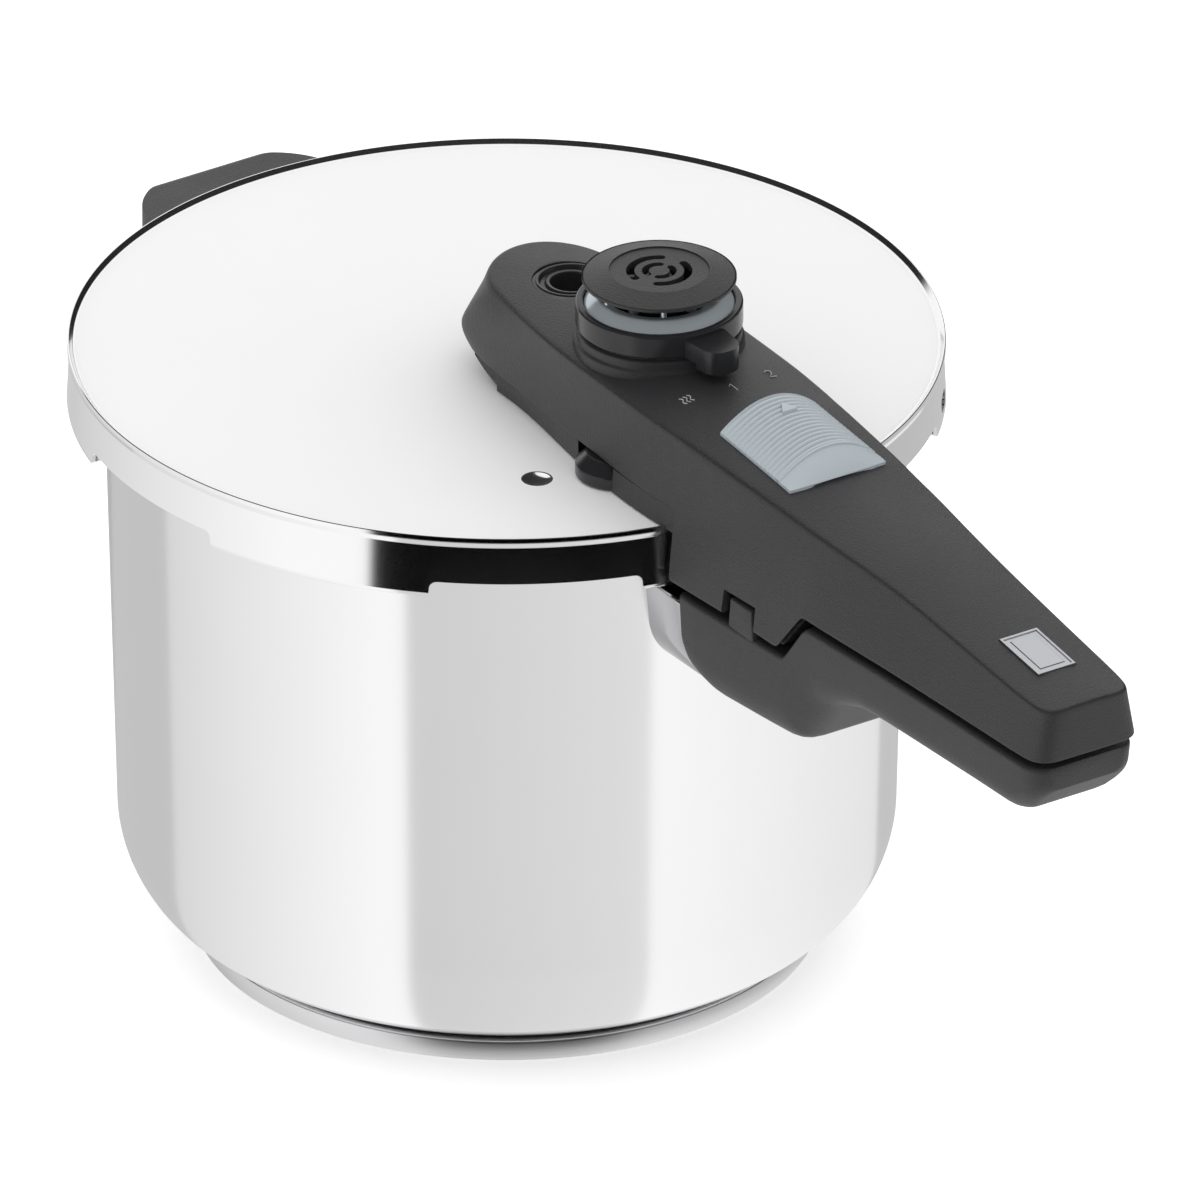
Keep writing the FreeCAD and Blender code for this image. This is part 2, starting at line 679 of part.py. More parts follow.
def lid_fasteners():
    """Studs welded on the lid, their nuts, and the screws that hold the cover on the tray."""
    z = LID_TOP
    studs = Part.makeCompound([rod(STUD_RADIUS, z, z + 7.5, at(x), 0) for x in STUD_PLACES])
    nuts = []
    for x in STUD_PLACES:
        nut = hexagon(8.0, z + FLOOR_PLATE + SEAT, z + FLOOR_PLATE + 3.6, at(x), 0)
        nuts.append(nut.cut(rod(STUD_RADIUS + SEAT, z, z + 20, at(x), 0)))
    screws = []
    for x, y, floor in cover_bosses():
        low = z + floor - FLOOR_PLATE
        head = rod(SCREW_HEAD, low + 0.1, low + SCREW_HEAD_HEIGHT - SEAT, x, y)
        shank = rod(SCREW_RADIUS, low + 0.1, low + FLOOR_PLATE + 7, x, y)
        cross = block(-2, 2, 0.4, low - 1, low + 0.8)
        cross.translate(V(x, y, 0))
        screws.append(head.fuse(shank).cut(cross))
    return studs, Part.makeCompound(nuts), Part.makeCompound(screws)


# ---- lock ----

def lock_button():
    half = BUTTON_LENGTH / 2
    width = BUTTON_HALF_WIDTH
    drop = CROWN * width * width
    dome = Part.Wire([
        Part.Arc(V(-half, -width, -drop + 0.3), V(-half, 0, BUTTON_RISE),
                 V(-half, width, -drop + 0.3)).toShape(),
        Part.LineSegment(V(-half, width, -drop + 0.3), V(-half, width, -9)).toShape(),
        Part.LineSegment(V(-half, width, -9), V(-half, -width, -9)).toShape(),
        Part.LineSegment(V(-half, -width, -9), V(-half, -width, -drop + 0.3)).toShape(),
    ])
    button = Part.Face(dome).extrude(V(BUTTON_LENGTH, 0, 0))
    button = button.common(arch(CROWN_RADIUS, width + 1, -half - 1, half + 1, 20))
    slant = side_prism(flat([
        (half, -5), (half - 2.6, BUTTON_RISE + 1), (half + 9, BUTTON_RISE + 1), (half + 9, -5),
    ]), width + 5)
    button = button.cut(slant)
    pitch = (BUTTON_LENGTH - 4.6) / RIB_COUNT
    bottom = (width * width + BUTTON_RISE * BUTTON_RISE) / (2 * BUTTON_RISE)
    for i in range(RIB_COUNT):
        x = -half + 1.2 + pitch * (i + 0.5)
        ring = Part.makeTorus(bottom + 0.35, 0.35 + RIB_DEPTH / 2, V(x, 0, BUTTON_RISE - bottom),
                              V(1, 0, 0))
        button = button.cut(ring)
    neck = block(NECK_X0, NECK_X1, NECK_HALF_WIDTH, -BAR_DROP + BAR_THICKNESS, 2)
    button = button.fuse(neck)
    for x in LOCK_SCREWS:
        button = button.cut(rod(1.3, -BAR_DROP, -3, x, 0))
    return button_place(button)


def lock_bar():
    low = -BAR_DROP
    bar = block(BAR_FRONT, BAR_BACK, BAR_HALF_WIDTH, low, low + BAR_THICKNESS - SEAT)
    latch_foot = -BUTTON_HEIGHT - HANDLE_DROP - 1.0
    bar = bar.fuse(block(LATCH_X0, LATCH_X1, LATCH_HALF_WIDTH, latch_foot, low + 1))
    bar = bar.fuse(along_button(rod(GUIDE_ROD, 0, SPRING_LENGTH + 2.2)))
    for x in LOCK_SCREWS:
        bar = bar.cut(rod(1.35, low - 1, low + BAR_THICKNESS + 1, x, 0))
    return button_place(bar)


def lock_screws():
    low = -BAR_DROP
    screws = []
    for x in LOCK_SCREWS:
        screw = rod(1.25, low - 1.4, low + BAR_THICKNESS + 5, x, 0)
        screws.append(screw.fuse(rod(2.4, low - 1.5, low - SEAT, x, 0)))
    return button_place(Part.makeCompound(screws))


def lock_spring():
    return button_place(along_button(coil(2.6, 0.45, SPRING_LENGTH, 6)))


# ---- selector and operating valve ----

def valve_body():
    z = LID_TOP
    return turned(flat([
        (2.2, z - 9.5), (THREAD_RADIUS, z - 9.5), (THREAD_RADIUS, z + SEAT),
        (VALVE_FLANGE, z + SEAT), (VALVE_FLANGE, z + 4.5), (COLUMN_RADIUS, z + 6),
        (COLUMN_RADIUS, z + 40.3), (COLUMN_RADIUS - 0.6, z + 40.3),
        (COLUMN_RADIUS - 0.6, z + 41.2), (COLUMN_RADIUS, z + 41.2),
        (COLUMN_RADIUS, z + 42.4), (SPRING_BORE, z + 42.4), (SPRING_BORE, z + 30),
        (2.2, z + 28),
    ]), VALVE_POINT)


def under_lid_ring(inner, outer, thickness, point):
    low = LID_UNDER - SEAT - thickness
    return tube(inner, outer, low, LID_UNDER - SEAT, point.x, point.y)


def under_lid_nut(hole, flats, above, height, point):
    high = LID_UNDER - 2 * SEAT - above
    nut = hexagon(flats, high - height, high, point.x, point.y)
    return nut.cut(rod(hole, high - 30, high + 10, point.x, point.y))


def valve_strainer():
    z = LID_TOP
    cup = turned(flat([
        (THREAD_RADIUS + SEAT, z - 7.2), (THREAD_RADIUS + 1.2, z - 7.2),
        (THREAD_RADIUS + 1.2, z - 11.5), (3.0, z - 13.2), (0, z - 13.2),
        (0, z - 12.5), (2.8, z - 12.5), (THREAD_RADIUS + 0.5, z - 11.1),
        (THREAD_RADIUS + 0.5, z - 9.6), (THREAD_RADIUS + SEAT, z - 9.6),
    ]), VALVE_POINT)
    for i in range(3):
        slot = Part.makeBox(20, 1.2, 1.4, V(-10, -0.6, z - 11.2))
        slot.rotate(V(0, 0, 0), UP, 60 * i)
        slot.translate(VALVE_POINT)
        cup = cup.cut(slot)
    return cup


def selector_collar():
    z = LID_TOP
    low = z + COLLAR_BASE
    bore = COLUMN_RADIUS + RUN_FIT
    hub = COLUMN_RADIUS + 2.8
    wall = COLLAR_RADIUS - COLLAR_WALL
    collar = turned([
        (bore, low, 0), (COLLAR_RADIUS, low, 0.6), (COLLAR_RADIUS, z + COLLAR_TOP, 0.8),
        (wall, z + COLLAR_TOP, 0.4), (wall, low + 2, 0), (hub, low + 2, 0),
        (hub, z + 44.6, 0), (STEM_RADIUS + FREE, z + 44.6, 0),
        (STEM_RADIUS + FREE, z + 43, 0), (bore, z + 43, 0),
    ], VALVE_POINT)
    groove = tube(bore - 1, COLUMN_RADIUS + 0.95, z + 39.9, z + 41.6, VALVE_POINT.x, 0)
    half = LEVER_WIDTH / 2
    tip = LEVER_REACH
    lever = plan_prism([
        (COLLAR_RADIUS - 1, -half - 1.4, 0), (tip, -half, half - 0.1),
        (tip, half, half - 0.1), (COLLAR_RADIUS - 1, half + 1.4, 0),
    ], z + COLLAR_BASE - 1.6, z + COLLAR_TOP - 1.6)
    lever = lever.cut(tube(0.1, COLLAR_RADIUS + 4.2, z, low, 0, 0))
    lever.translate(VALVE_POINT)
    lever = lever.cut(rod(wall + 0.5, z, z + 60, VALVE_POINT.x, 0))
    return joined(collar.cut(groove), lever)


def snap_ring():
    z = LID_TOP
    return tube(COLUMN_RADIUS - 0.55, COLUMN_RADIUS + 0.6, z + 40.35, z + 41.15, VALVE_POINT.x, 0)


def selector_ring():
    """Grey dished ring inside the collar."""
    z = LID_TOP
    floor = z + COLLAR_BASE + 2 + SEAT
    outer = COLLAR_RADIUS - COLLAR_WALL - 0.1
    return turned([
        (14.6, floor, 0), (outer, floor, 0), (outer, z + 43.6, 1.4),
        (17.4, z + 46.8, 1.2), (14.6, z + 46.4, 0.5),
    ], VALVE_POINT)


def cap_slots(radius, width):
    """Two arc slots on opposite sides of the cap, to let steam out."""
    z = LID_TOP + CAP_TOP
    slots = []
    for start in (-38.0, 142.0):
        span = 128.0
        arc = turned(flat([
            (radius - width, z - 9), (radius, z - 9), (radius, z + 1), (radius - width, z + 1),
        ]), start=start, arc=span)
        slots.append(arc)
        for angle in (start, start + span):
            spot = polar(radius - width / 2, angle)
            slots.append(rod(width / 2, z - 9, z + 1, spot.x, spot.y))
    cutter = slots[0].multiFuse(slots[1:])
    cutter.translate(VALVE_POINT)
    return cutter


def valve_cap():
    z = LID_TOP
    top = z + CAP_TOP
    under = top - CAP_THICKNESS
    cap = turned([
        (0, under + 0.6, 0), (CAP_RADIUS - 2, under, 0), (CAP_RADIUS, under + 0.3, 0.8),
        (CAP_RADIUS, top - 1.9, 0.9), (CAP_DISC_RADIUS, top, 0),
        (CAP_DISC_RADIUS, top - 0.4, 0), (0, top - 0.4, 0),
    ], VALVE_POINT)
    for radius, width in ((9.1, 2.3), (4.8, 2.0)):
        cap = cap.cut(cap_slots(radius, width))
    rim = tube(HUB_RADIUS - 1.2, HUB_RADIUS, z + 45.4, under + 1.0, VALVE_POINT.x, 0)
    socket = tube(STEM_RADIUS + SEAT, STEM_RADIUS + 1.4, z + 47.0, under + 1.0, VALVE_POINT.x, 0)
    spoke = block(STEM_RADIUS + 0.6, HUB_RADIUS - 0.3, 0.8, under - 1.4, under + 1.0)
    spokes = []
    for i in range(3):
        arm = spoke.copy()
        arm.rotate(V(0, 0, 0), UP, 120 * i)
        arm.translate(VALVE_POINT)
        spokes.append(arm)
    posts = []
    for i in range(POST_COUNT):
        spot = polar(POST_RING, LUG_PITCH * i) + VALVE_POINT
        posts.append(rod(1.5, z + 47.6, under + 1.0, spot.x, spot.y))
    return joined(cap, rim, socket, *(spokes + posts))


def cap_pins():
    """Steel pins between the cap's posts."""
    under = LID_TOP + CAP_TOP - CAP_THICKNESS
    pins = []
    for i in range(POST_COUNT):
        spot = polar(POST_RING + 1.4, LUG_PITCH * (i + 0.5)) + VALVE_POINT
        pins.append(rod(0.9, LID_TOP + 47.8, under - 0.1, spot.x, spot.y))
    return Part.makeCompound(pins)


def valve_stem():
    z = LID_TOP
    return turned(flat([
        (0, z + 26.2), (1.0, z + 26.2), (STEM_RADIUS - 0.4, z + 28.9),
        (STEM_RADIUS + 2.2, z + 30.2), (STEM_RADIUS + 2.2, z + 31.6), (STEM_RADIUS, z + 31.6),
        (STEM_RADIUS, z + 50.6), (0, z + 50.6),
    ]), VALVE_POINT)


def valve_spring():
    spring = coil(3.4, 0.5, 11.0, 6)
    spring.translate(V(VALVE_POINT.x, 0, LID_TOP + 31.8))
    return spring


# ---- pressure indicator ----

def indicator_bezel():
    z = LID_TOP
    return turned([
        (INDICATOR_BORE, z + 24.2, 0), (INDICATOR_RING, z + 24.2, 0),
        (INDICATOR_RING, z + 34.6, 0.6), (INDICATOR_RING - 1.4, z + 34.6, 0.4),
        (INDICATOR_BORE + 1.6, z + 32.6, 0), (INDICATOR_BORE + 1.0, z + 33.6, 0.3),
        (INDICATOR_BORE, z + 33.6, 0.3),
    ], INDICATOR_POINT)


def indicator_grommet():
    z = LID_TOP
    low = LID_UNDER
    bore = PIN_RADIUS + FREE
    return turned([
        (bore, z + 1.6, 0), (bore, low - 1.5, 0), (GROMMET_FLANGE, low - 1.5, 0.5),
        (GROMMET_FLANGE, low - SEAT, 0), (GROMMET_NECK - SEAT, low - SEAT, 0),
        (GROMMET_NECK - SEAT, z + SEAT, 0), (GROMMET_FLANGE, z + SEAT, 0),
        (GROMMET_FLANGE, z + 1.6, 0.5),
    ], INDICATOR_POINT)


def indicator_pin():
    z = LID_TOP
    groove = z - CLIP_DROP
    head = INDICATOR_BORE - 0.6
    return turned([
        (0, groove - 2.6, 0), (PIN_RADIUS, groove - 2.6, 0.6), (PIN_RADIUS, groove - 0.9, 0),
        (PIN_RADIUS - 0.7, groove - 0.9, 0), (PIN_RADIUS - 0.7, groove, 0),
        (PIN_RADIUS, groove, 0), (PIN_RADIUS, z + 1.7, 0), (PIN_RADIUS + 1.8, z + 1.7, 0),
        (PIN_RADIUS + 1.8, z + 3.4, 0), (PIN_RADIUS, z + 4.4, 0), (PIN_RADIUS, z + 21.5, 0),
        (head, z + 22.5, 0), (head, z + 25.6, 0.6), (0, z + 25.6, 0),
    ], INDICATOR_POINT)


def indicator_clip():
    groove = LID_TOP - CLIP_DROP
    return tube(PIN_RADIUS - 0.65, PIN_RADIUS + 2.2, groove - 0.85, groove - 0.05,
                INDICATOR_POINT.x, 0)


# ---- relief valve under the handle's edge ----

def relief_body():
    z = LID_TOP
    return turned([
        (PLUNGER_RADIUS + FREE, z - 9.0, 0), (RELIEF_THREAD, z - 9.0, 0),
        (RELIEF_THREAD, z + SEAT, 0), (RELIEF_RADIUS, z + SEAT, 0),
        (RELIEF_RADIUS, z + 3.4, 1.2), (RELIEF_RADIUS - 3.2, z + 6.7, 1.5),
        (1.4, z + 6.7, 0), (1.4, z + 5.2, 0), (RELIEF_BORE, z + 5.2, 0),
        (RELIEF_BORE, z - 6.6, 0), (PLUNGER_RADIUS + FREE, z - 6.6, 0),
    ], RELIEF_POINT)


def relief_plunger():
    z = LID_TOP
    return turned(flat([
        (0, z - 10.2), (PLUNGER_RADIUS, z - 10.2), (PLUNGER_RADIUS, z - 6.5),
        (RELIEF_BORE - FREE, z - 6.5), (RELIEF_BORE - FREE, z - 4.9), (0, z - 4.9),
    ]), RELIEF_POINT)


def relief_spring():
    spring = coil(2.4, 0.4, 9.8, 6)
    spring.translate(V(RELIEF_POINT.x, RELIEF_POINT.y, LID_TOP - 4.8))
    return spring


# ---- pot handle ----

def pot_handle_sections():
    """The pot handle's outer form: upright sides and a rounded underside."""
    grip_low = HANDLE_DROP - GRIP_LIFT + SEAM_GAP + GRIP_THICKNESS
    end = GRIP_END_X - 3.0
    rows = [
        (2.0, ROOT_DEPTH - 10, 0.2), (11.0, ROOT_DEPTH - 1, 0.0), (26.0, ROOT_DEPTH - 0.6, 0.0),
        (52.0, ROOT_DEPTH - 3, 0.2), (60.0, ROOT_DEPTH - 4.5, 0.2), (67.0, ROOT_DEPTH - 12, 0.2),
        (75.0, grip_low + 5.0, 0.0), (86.0, grip_low, 0.0), (125.0, grip_low + 0.6, 0.0),
        (end - 14, grip_low - 1.2, 0.0), (end + 1, grip_low - 7, 0.0),
    ]
    wires = []
    for x, depth, tuck in rows:
        half = station(min(x, GRIP_END_X))[3] - 0.4 - tuck
        corner = min(16.0, 0.42 * (depth - 2), 0.75 * half)
        low = LID_TOP - depth
        wires.append(rounded([
            (-half, LID_TOP, 0), (-half + 1.2, low, corner),
            (half - 1.2, low, corner), (half, LID_TOP, 0),
        ], lambda y, z, x=x: V(at(x), y, z)))
    # Flat strips between the sections: a smooth skin comes back empty from the seam's cut.
    return Part.makeLoft(wires, True, True)


def below_seam():
    """Everything under the gap between the two handles, down to the handle's far corner."""
    edge = seam(-SEAM_GAP)
    front = at(3.4)
    end = at(GRIP_END_X) - 1.5
    low = LID_TOP - ROOT_DEPTH - 10
    corners = [(front, edge[0][1], 1.5), (at(STEP_X) + 1.0, edge[1][1], 1.5)]
    corners += [(edge[2][0] + 1.0, edge[2][1], 4.0), (end, edge[3][1] + 0.4, 2.0)]
    corners += [(end - 3, edge[3][1] - GRIP_THICKNESS - 4, 0), (end - 3, low, 0)]
    corners += [(front + 3, low, 0)]
    return side_prism(corners, 70)


def pot_handle():
    body = pot_handle_sections().common(below_seam())
    tip = STATIONS[-2][3] - 0.4
    limit = plan_prism([
        (at(0), -60, 0), (at(GRIP_END_X) - 1.5, -tip, 7.0),
        (at(GRIP_END_X) - 1.5, tip, 7.0), (at(0), 60, 0),
    ], LID_TOP - 80, LID_TOP)
    body = body.common(limit)
    top = LID_TOP - HANDLE_DROP - SEAM_GAP
    tab = side_prism(tab_corners(0, top + TAB_RISE), 45)
    outer = station(TAB_X0)[3] - 0.9
    inner = outer - TAB_THICKNESS + 0.4
    strip = Part.makeBox(400, outer - inner, 60, V(0, -outer, top - 4))
    body = body.fuse(tab.common(strip))
    z = LID_TOP - TONGUE_DEPTH
    tongue = block(at(0), at(TONGUE_END) + 0.3, TONGUE_HALF_WIDTH + 0.2,
                   z - 0.2, z + BRACKET_SHEET + 0.2)
    body = body.cut(tongue)
    x = at(HANDLE_SCREW_X)
    body = body.cut(rod(SCREW_M5 + 0.2, z - 60, z + 12, x, 0))
    return body.cut(rod(5.2, z - 60, z - 8, x, 0)).removeSplitter()


def ferrule_section(x, inset):
    half = station(3.4)[3] - 1.6 - inset
    depth = ROOT_DEPTH + 1.0 - inset
    top = LID_TOP - LUG_DEPTH - 1.6
    return rounded([
        (-half, top - inset, 1.0), (-half + 3.0, LID_TOP - depth, 17.0 - inset),
        (half - 3.0, LID_TOP - depth, 17.0 - inset), (half, top - inset, 1.0),
    ], lambda y, z: V(x, y, z))


def pot_handle_ferrule():
    """Steel sleeve between the pot's wall and the handle's root."""
    start = at(-30)
    outer = Part.Face(ferrule_section(start, 0)).extrude(V(41.5, 0, 0))
    inner = Part.Face(ferrule_section(start - 1, 0.8)).extrude(V(44, 0, 0))
    sleeve = outer.cut(inner).cut(pot_envelope())
    return sleeve.cut(pot_handle()).cut(turned(flat([
        (LID_R - 30, LID_TOP - LUG_DEPTH - 0.6), (LID_R + 4, LID_TOP - LUG_DEPTH - 0.6),
        (LID_R + 4, LID_TOP), (LID_R - 30, LID_TOP),
    ])))


def wall_bracket(outward, half_width, low, high, tongue_low, tongue_end):
    """Saddle spot-welded to the wall, with a flat tongue; built at +X."""
    saddle = block(POT_R - 30, WALL_R + BRACKET_SHEET, half_width, low, high)
    tongue = block(POT_R - 30, tongue_end, outward, tongue_low, tongue_low + BRACKET_SHEET)
    return saddle.fuse(tongue).cut(pot_envelope()).removeSplitter()


def pot_handle_bracket():
    z = LID_TOP - TONGUE_DEPTH
    bracket = wall_bracket(TONGUE_HALF_WIDTH, 17, z - 14, z + 6, z, at(TONGUE_END))
    return bracket.cut(rod(SCREW_M5 + SEAT, z - 5, z + 9, at(HANDLE_SCREW_X), 0))


def pot_handle_screw():
    z = LID_TOP - TONGUE_DEPTH
    x = at(HANDLE_SCREW_X)
    screw = rod(SCREW_M5, z - 11, z + BRACKET_SHEET + 6, x, 0)
    head = rod(4.8, z - 11.5, z - 8 - SEAT, x, 0)
    cross = block(-3, 3, 0.6, z - 13, z - 10)
    cross.translate(V(x, 0, 0))
    return screw.fuse(head).cut(cross)


# ---- side handle, opposite the long one ----

def side_handle():
    top = LID_TOP - SIDE_TOP
    low = top - SIDE_THICKNESS
    under_skirt = LID_TOP - LUG_DEPTH - 2.0
    outer = WALL_R + SIDE_REACH
    clear = LID_R + 1.6
    half = SIDE_HALF_WIDTH
    plan = plan_prism([
        (POT_R - 40, -half + 3, 0), (WALL_R + 12, -half + 3, 5), (outer, -half - 2, 24),
        (outer, half + 2, 24), (WALL_R + 12, half - 3, 5), (POT_R - 40, half - 3, 0),
    ], low - 20, top + 1)
    profile = side_prism([
        (POT_R - 40, low - 8, 0), (WALL_R + 6, low - 8, 8), (WALL_R + 16, low + 2, 8),
        (outer, low + 3, 6), (outer, top, 4), (POT_R - 40, top, 0),
    ], 60)
    body = plan.common(profile).cut(pot_envelope())
    ring = turned(flat([
        (POT_R - 20, under_skirt), (clear, under_skirt), (clear, top + 5), (POT_R - 20, top + 5),
    ]))
    body = body.cut(ring)
    z = LID_TOP - SIDE_TONGUE_DEPTH
    body = body.cut(block(POT_R - 40, WALL_R + SIDE_SCREW + 8.3, 10.2, z - 0.2, z + 2.7))
    saddle = block(POT_R - 40, WALL_R + BRACKET_SHEET + 0.3, 17.3, z - 8.3, z + 6.3)
    body = body.cut(saddle)
    body = body.cut(rod(SCREW_M5 + 0.2, low - 30, z + 7, WALL_R + SIDE_SCREW, 0))
    body = body.cut(rod(5.2, low - 30, z - 6, WALL_R + SIDE_SCREW, 0))
    return to_back(body)


def to_back(shape):
    shape.rotate(V(0, 0, 0), UP, 180)
    return shape


def side_handle_bracket():
    z = LID_TOP - SIDE_TONGUE_DEPTH
    bracket = wall_bracket(10, 17, z - 8, z + 6, z, WALL_R + SIDE_SCREW + 8)
    return to_back(bracket.cut(rod(SCREW_M5 + SEAT, z - 5, z + 9, WALL_R + SIDE_SCREW, 0)))


def side_handle_screw():
    z = LID_TOP - SIDE_TONGUE_DEPTH
    x = WALL_R + SIDE_SCREW
    screw = rod(SCREW_M5, z - 9, z + 6, x, 0)
    head = rod(4.8, z - 9.5, z - 6 - SEAT, x, 0)
    cross = block(-3, 3, 0.6, z - 12, z - 8.2)
    cross.translate(V(x, 0, 0))
    return to_back(screw.fuse(head).cut(cross))


def build():
    os.makedirs("parts", exist_ok=True)
    core, cap = base_parts()
    studs, nuts, screws = lid_fasteners()
    save("pot_shell", pot_shell())
    save("base_core", core)
    save("base_cap", cap)
    save("pot_handle", pot_handle())
    save("pot_handle_bracket", pot_handle_bracket())
    save("pot_handle_ferrule", pot_handle_ferrule())
    save("pot_handle_screw", pot_handle_screw())
    save("side_handle", side_handle())
    save("side_handle_bracket", side_handle_bracket())
    save("side_handle_screw", side_handle_screw())
    save("lid_gasket", lid_gasket())
    save("lid_shell", lid_shell())
    save("lid_handle_cover", lid_handle_cover())
    save("lid_handle_base", lid_handle_base())
    save("lid_studs", studs)
    save("lid_stud_nuts", nuts)
    save("cover_screws", screws)
    save("handle_badge", badge_plate(0, -0.05))
    save("valve_body", valve_body())
    save("valve_seal", under_lid_ring(THREAD_RADIUS + SEAT, 9.0, 1.0, VALVE_POINT))
    save("valve_nut", under_lid_nut(THREAD_RADIUS + SEAT, 17.0, 1.0, 4.4, VALVE_POINT))
    save("valve_strainer", valve_strainer())
    save("selector_snap_ring", snap_ring())
    save("selector_collar", selector_collar())
    save("selector_ring", selector_ring())
    save("valve_cap", valve_cap())
    save("valve_cap_pins", cap_pins())
    save("valve_stem", valve_stem())
    save("valve_spring", valve_spring())
    save("indicator_bezel", indicator_bezel())
    save("indicator_grommet", indicator_grommet())
    save("indicator_pin", indicator_pin())
    save("indicator_clip", indicator_clip())
    save("relief_body", relief_body())
    save("relief_seal", under_lid_ring(RELIEF_THREAD + SEAT, 6.8, 0.8, RELIEF_POINT))
    save("relief_nut", under_lid_nut(RELIEF_THREAD + SEAT, 12.0, 0.8, 3.6, RELIEF_POINT))
    save("relief_plunger", relief_plunger())
    save("relief_spring", relief_spring())
    save("lock_button", lock_button())
    save("lock_bar", lock_bar())
    save("lock_screws", lock_screws())
    save("lock_spring", lock_spring())


build()
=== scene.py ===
import math

import bmesh
import bpy
from mathutils import Matrix, Vector


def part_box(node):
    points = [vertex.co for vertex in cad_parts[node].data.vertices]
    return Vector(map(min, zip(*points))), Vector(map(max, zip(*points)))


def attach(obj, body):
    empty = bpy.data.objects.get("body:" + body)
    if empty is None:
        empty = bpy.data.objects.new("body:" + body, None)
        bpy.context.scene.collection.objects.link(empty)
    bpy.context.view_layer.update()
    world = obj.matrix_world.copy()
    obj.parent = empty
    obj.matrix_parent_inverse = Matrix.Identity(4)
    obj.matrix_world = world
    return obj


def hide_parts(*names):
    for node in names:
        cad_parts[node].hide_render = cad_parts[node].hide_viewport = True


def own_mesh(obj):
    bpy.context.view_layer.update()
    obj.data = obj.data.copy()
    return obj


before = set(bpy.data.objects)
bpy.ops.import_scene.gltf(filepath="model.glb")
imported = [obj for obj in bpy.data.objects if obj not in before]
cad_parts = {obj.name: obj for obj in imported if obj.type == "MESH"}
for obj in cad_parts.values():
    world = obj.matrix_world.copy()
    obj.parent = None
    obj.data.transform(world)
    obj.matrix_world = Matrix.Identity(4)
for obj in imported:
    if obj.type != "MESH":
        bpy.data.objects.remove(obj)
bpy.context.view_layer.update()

# Stovetop pressure cooker, built round its CAD frame.  Sizes are millimetres in the frame's own
# axes: Z up from the hob, X out along the long handle.  Meshes are scaled to metres when finished.

MM = 0.001


def span(node):
    """Lowest and highest corner of a CAD node, in millimetres."""
    low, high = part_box(node)
    return low / MM, high / MM


def middle(node):
    low, high = span(node)
    return (low + high) / 2


LID_R = span("lid_shell")[1].x
LID_TOP = span("lid_shell")[1].z
LUG_FOOT = span("lid_shell")[0].z
RIM = span("pot_shell")[1].z
BASE_TOP = span("base_cap")[1].z
BASE_R = span("base_cap")[1].x
VALVE = middle("valve_body")
INDICATOR = middle("indicator_bezel")
END = span("lid_handle_cover")[1].x - LID_R
VIEW_AZIMUTH = 56.0
VIEW_ELEVATION = 27.5
VIEW_WIDTH = 329.7         # width in view at the target
VIEW_AIM = (25.7, -71.5)   # the target, right of and above the middle of the lid's top


# ---- camera, light and floor ----

def camera():
    """A long lens from the front right, looking down a little on the lid."""
    turn = math.radians(VIEW_AZIMUTH)
    rise = math.radians(VIEW_ELEVATION)
    level = math.cos(rise)
    back = Vector((math.sin(turn) * level, -math.cos(turn) * level, math.sin(rise)))
    right = Vector((math.cos(turn), math.sin(turn), 0))
    up = back.cross(right)
    lens = bpy.data.cameras.new("camera")
    lens.sensor_width = 36
    lens.lens = 1500
    lens.clip_start = 1
    lens.clip_end = 60
    distance = lens.lens / lens.sensor_width * VIEW_WIDTH
    target = Vector((0, 0, LID_TOP)) + right * VIEW_AIM[0] + up * VIEW_AIM[1]
    eye = bpy.data.objects.new("camera", lens)
    eye.location = (target + back * distance) * MM
    eye.rotation_euler = back.to_track_quat("Z", "Y").to_euler()
    bpy.context.scene.collection.objects.link(eye)
    bpy.context.scene.camera = eye


class Value:
    """A socket that shader maths can be written with: each operator adds a Math node."""

    def __init__(self, tree, socket):
        self.tree = tree
        self.socket = socket

    def maths(self, operation, *others):
        node = self.tree.nodes.new("ShaderNodeMath")
        node.operation = operation
        for slot, item in zip(node.inputs, (self,) + others):
            if isinstance(item, Value):
                self.tree.links.new(item.socket, slot)
            else:
                slot.default_value = item
        return Value(self.tree, node.outputs[0])

    def backwards(self, operation, first):
        node = self.tree.nodes.new("ShaderNodeMath")
        node.operation = operation
        node.inputs[0].default_value = first
        self.tree.links.new(self.socket, node.inputs[1])
        return Value(self.tree, node.outputs[0])

    def __add__(self, other):
        return self.maths("ADD", other)

    def __mul__(self, other):
        return self.maths("MULTIPLY", other)

    def __sub__(self, other):
        return self.maths("SUBTRACT", other)

    def __truediv__(self, other):
        return self.maths("DIVIDE", other)

    def __rsub__(self, other):
        return self.backwards("SUBTRACT", other)

    __radd__ = __add__
    __rmul__ = __mul__

    def between(self, low, high, soft):
        """1 between two limits, 0 outside, with edges as wide as soft."""
        rising = ((self - low) / soft + 0.5).clamped()
        falling = ((high - self) / soft + 0.5).clamped()
        return rising * falling

    def clamped(self):
        return self.maths("MAXIMUM", 0.0).maths("MINIMUM", 1.0)


class Tree:
    """A node tree that nodes are added to with one call each."""

    def __init__(self, owner):
        owner.use_nodes = True
        self.tree = owner.node_tree
        self.tree.nodes.clear()

    def node(self, kind, settings=None, inputs=None):
        made = self.tree.nodes.new("ShaderNode" + kind)
        for name, value in (settings or {}).items():
            setattr(made, name, value)
        for name, value in (inputs or {}).items():
            self.feed(made.inputs[name], value)
        return made

    def feed(self, slot, value):
        if isinstance(value, Value):
            self.tree.links.new(value.socket, slot)
        elif isinstance(value, bpy.types.NodeSocket):
            self.tree.links.new(value, slot)
        else:
            slot.default_value = value

    def value(self, made, output=0):
        return Value(self.tree, made.outputs[output])


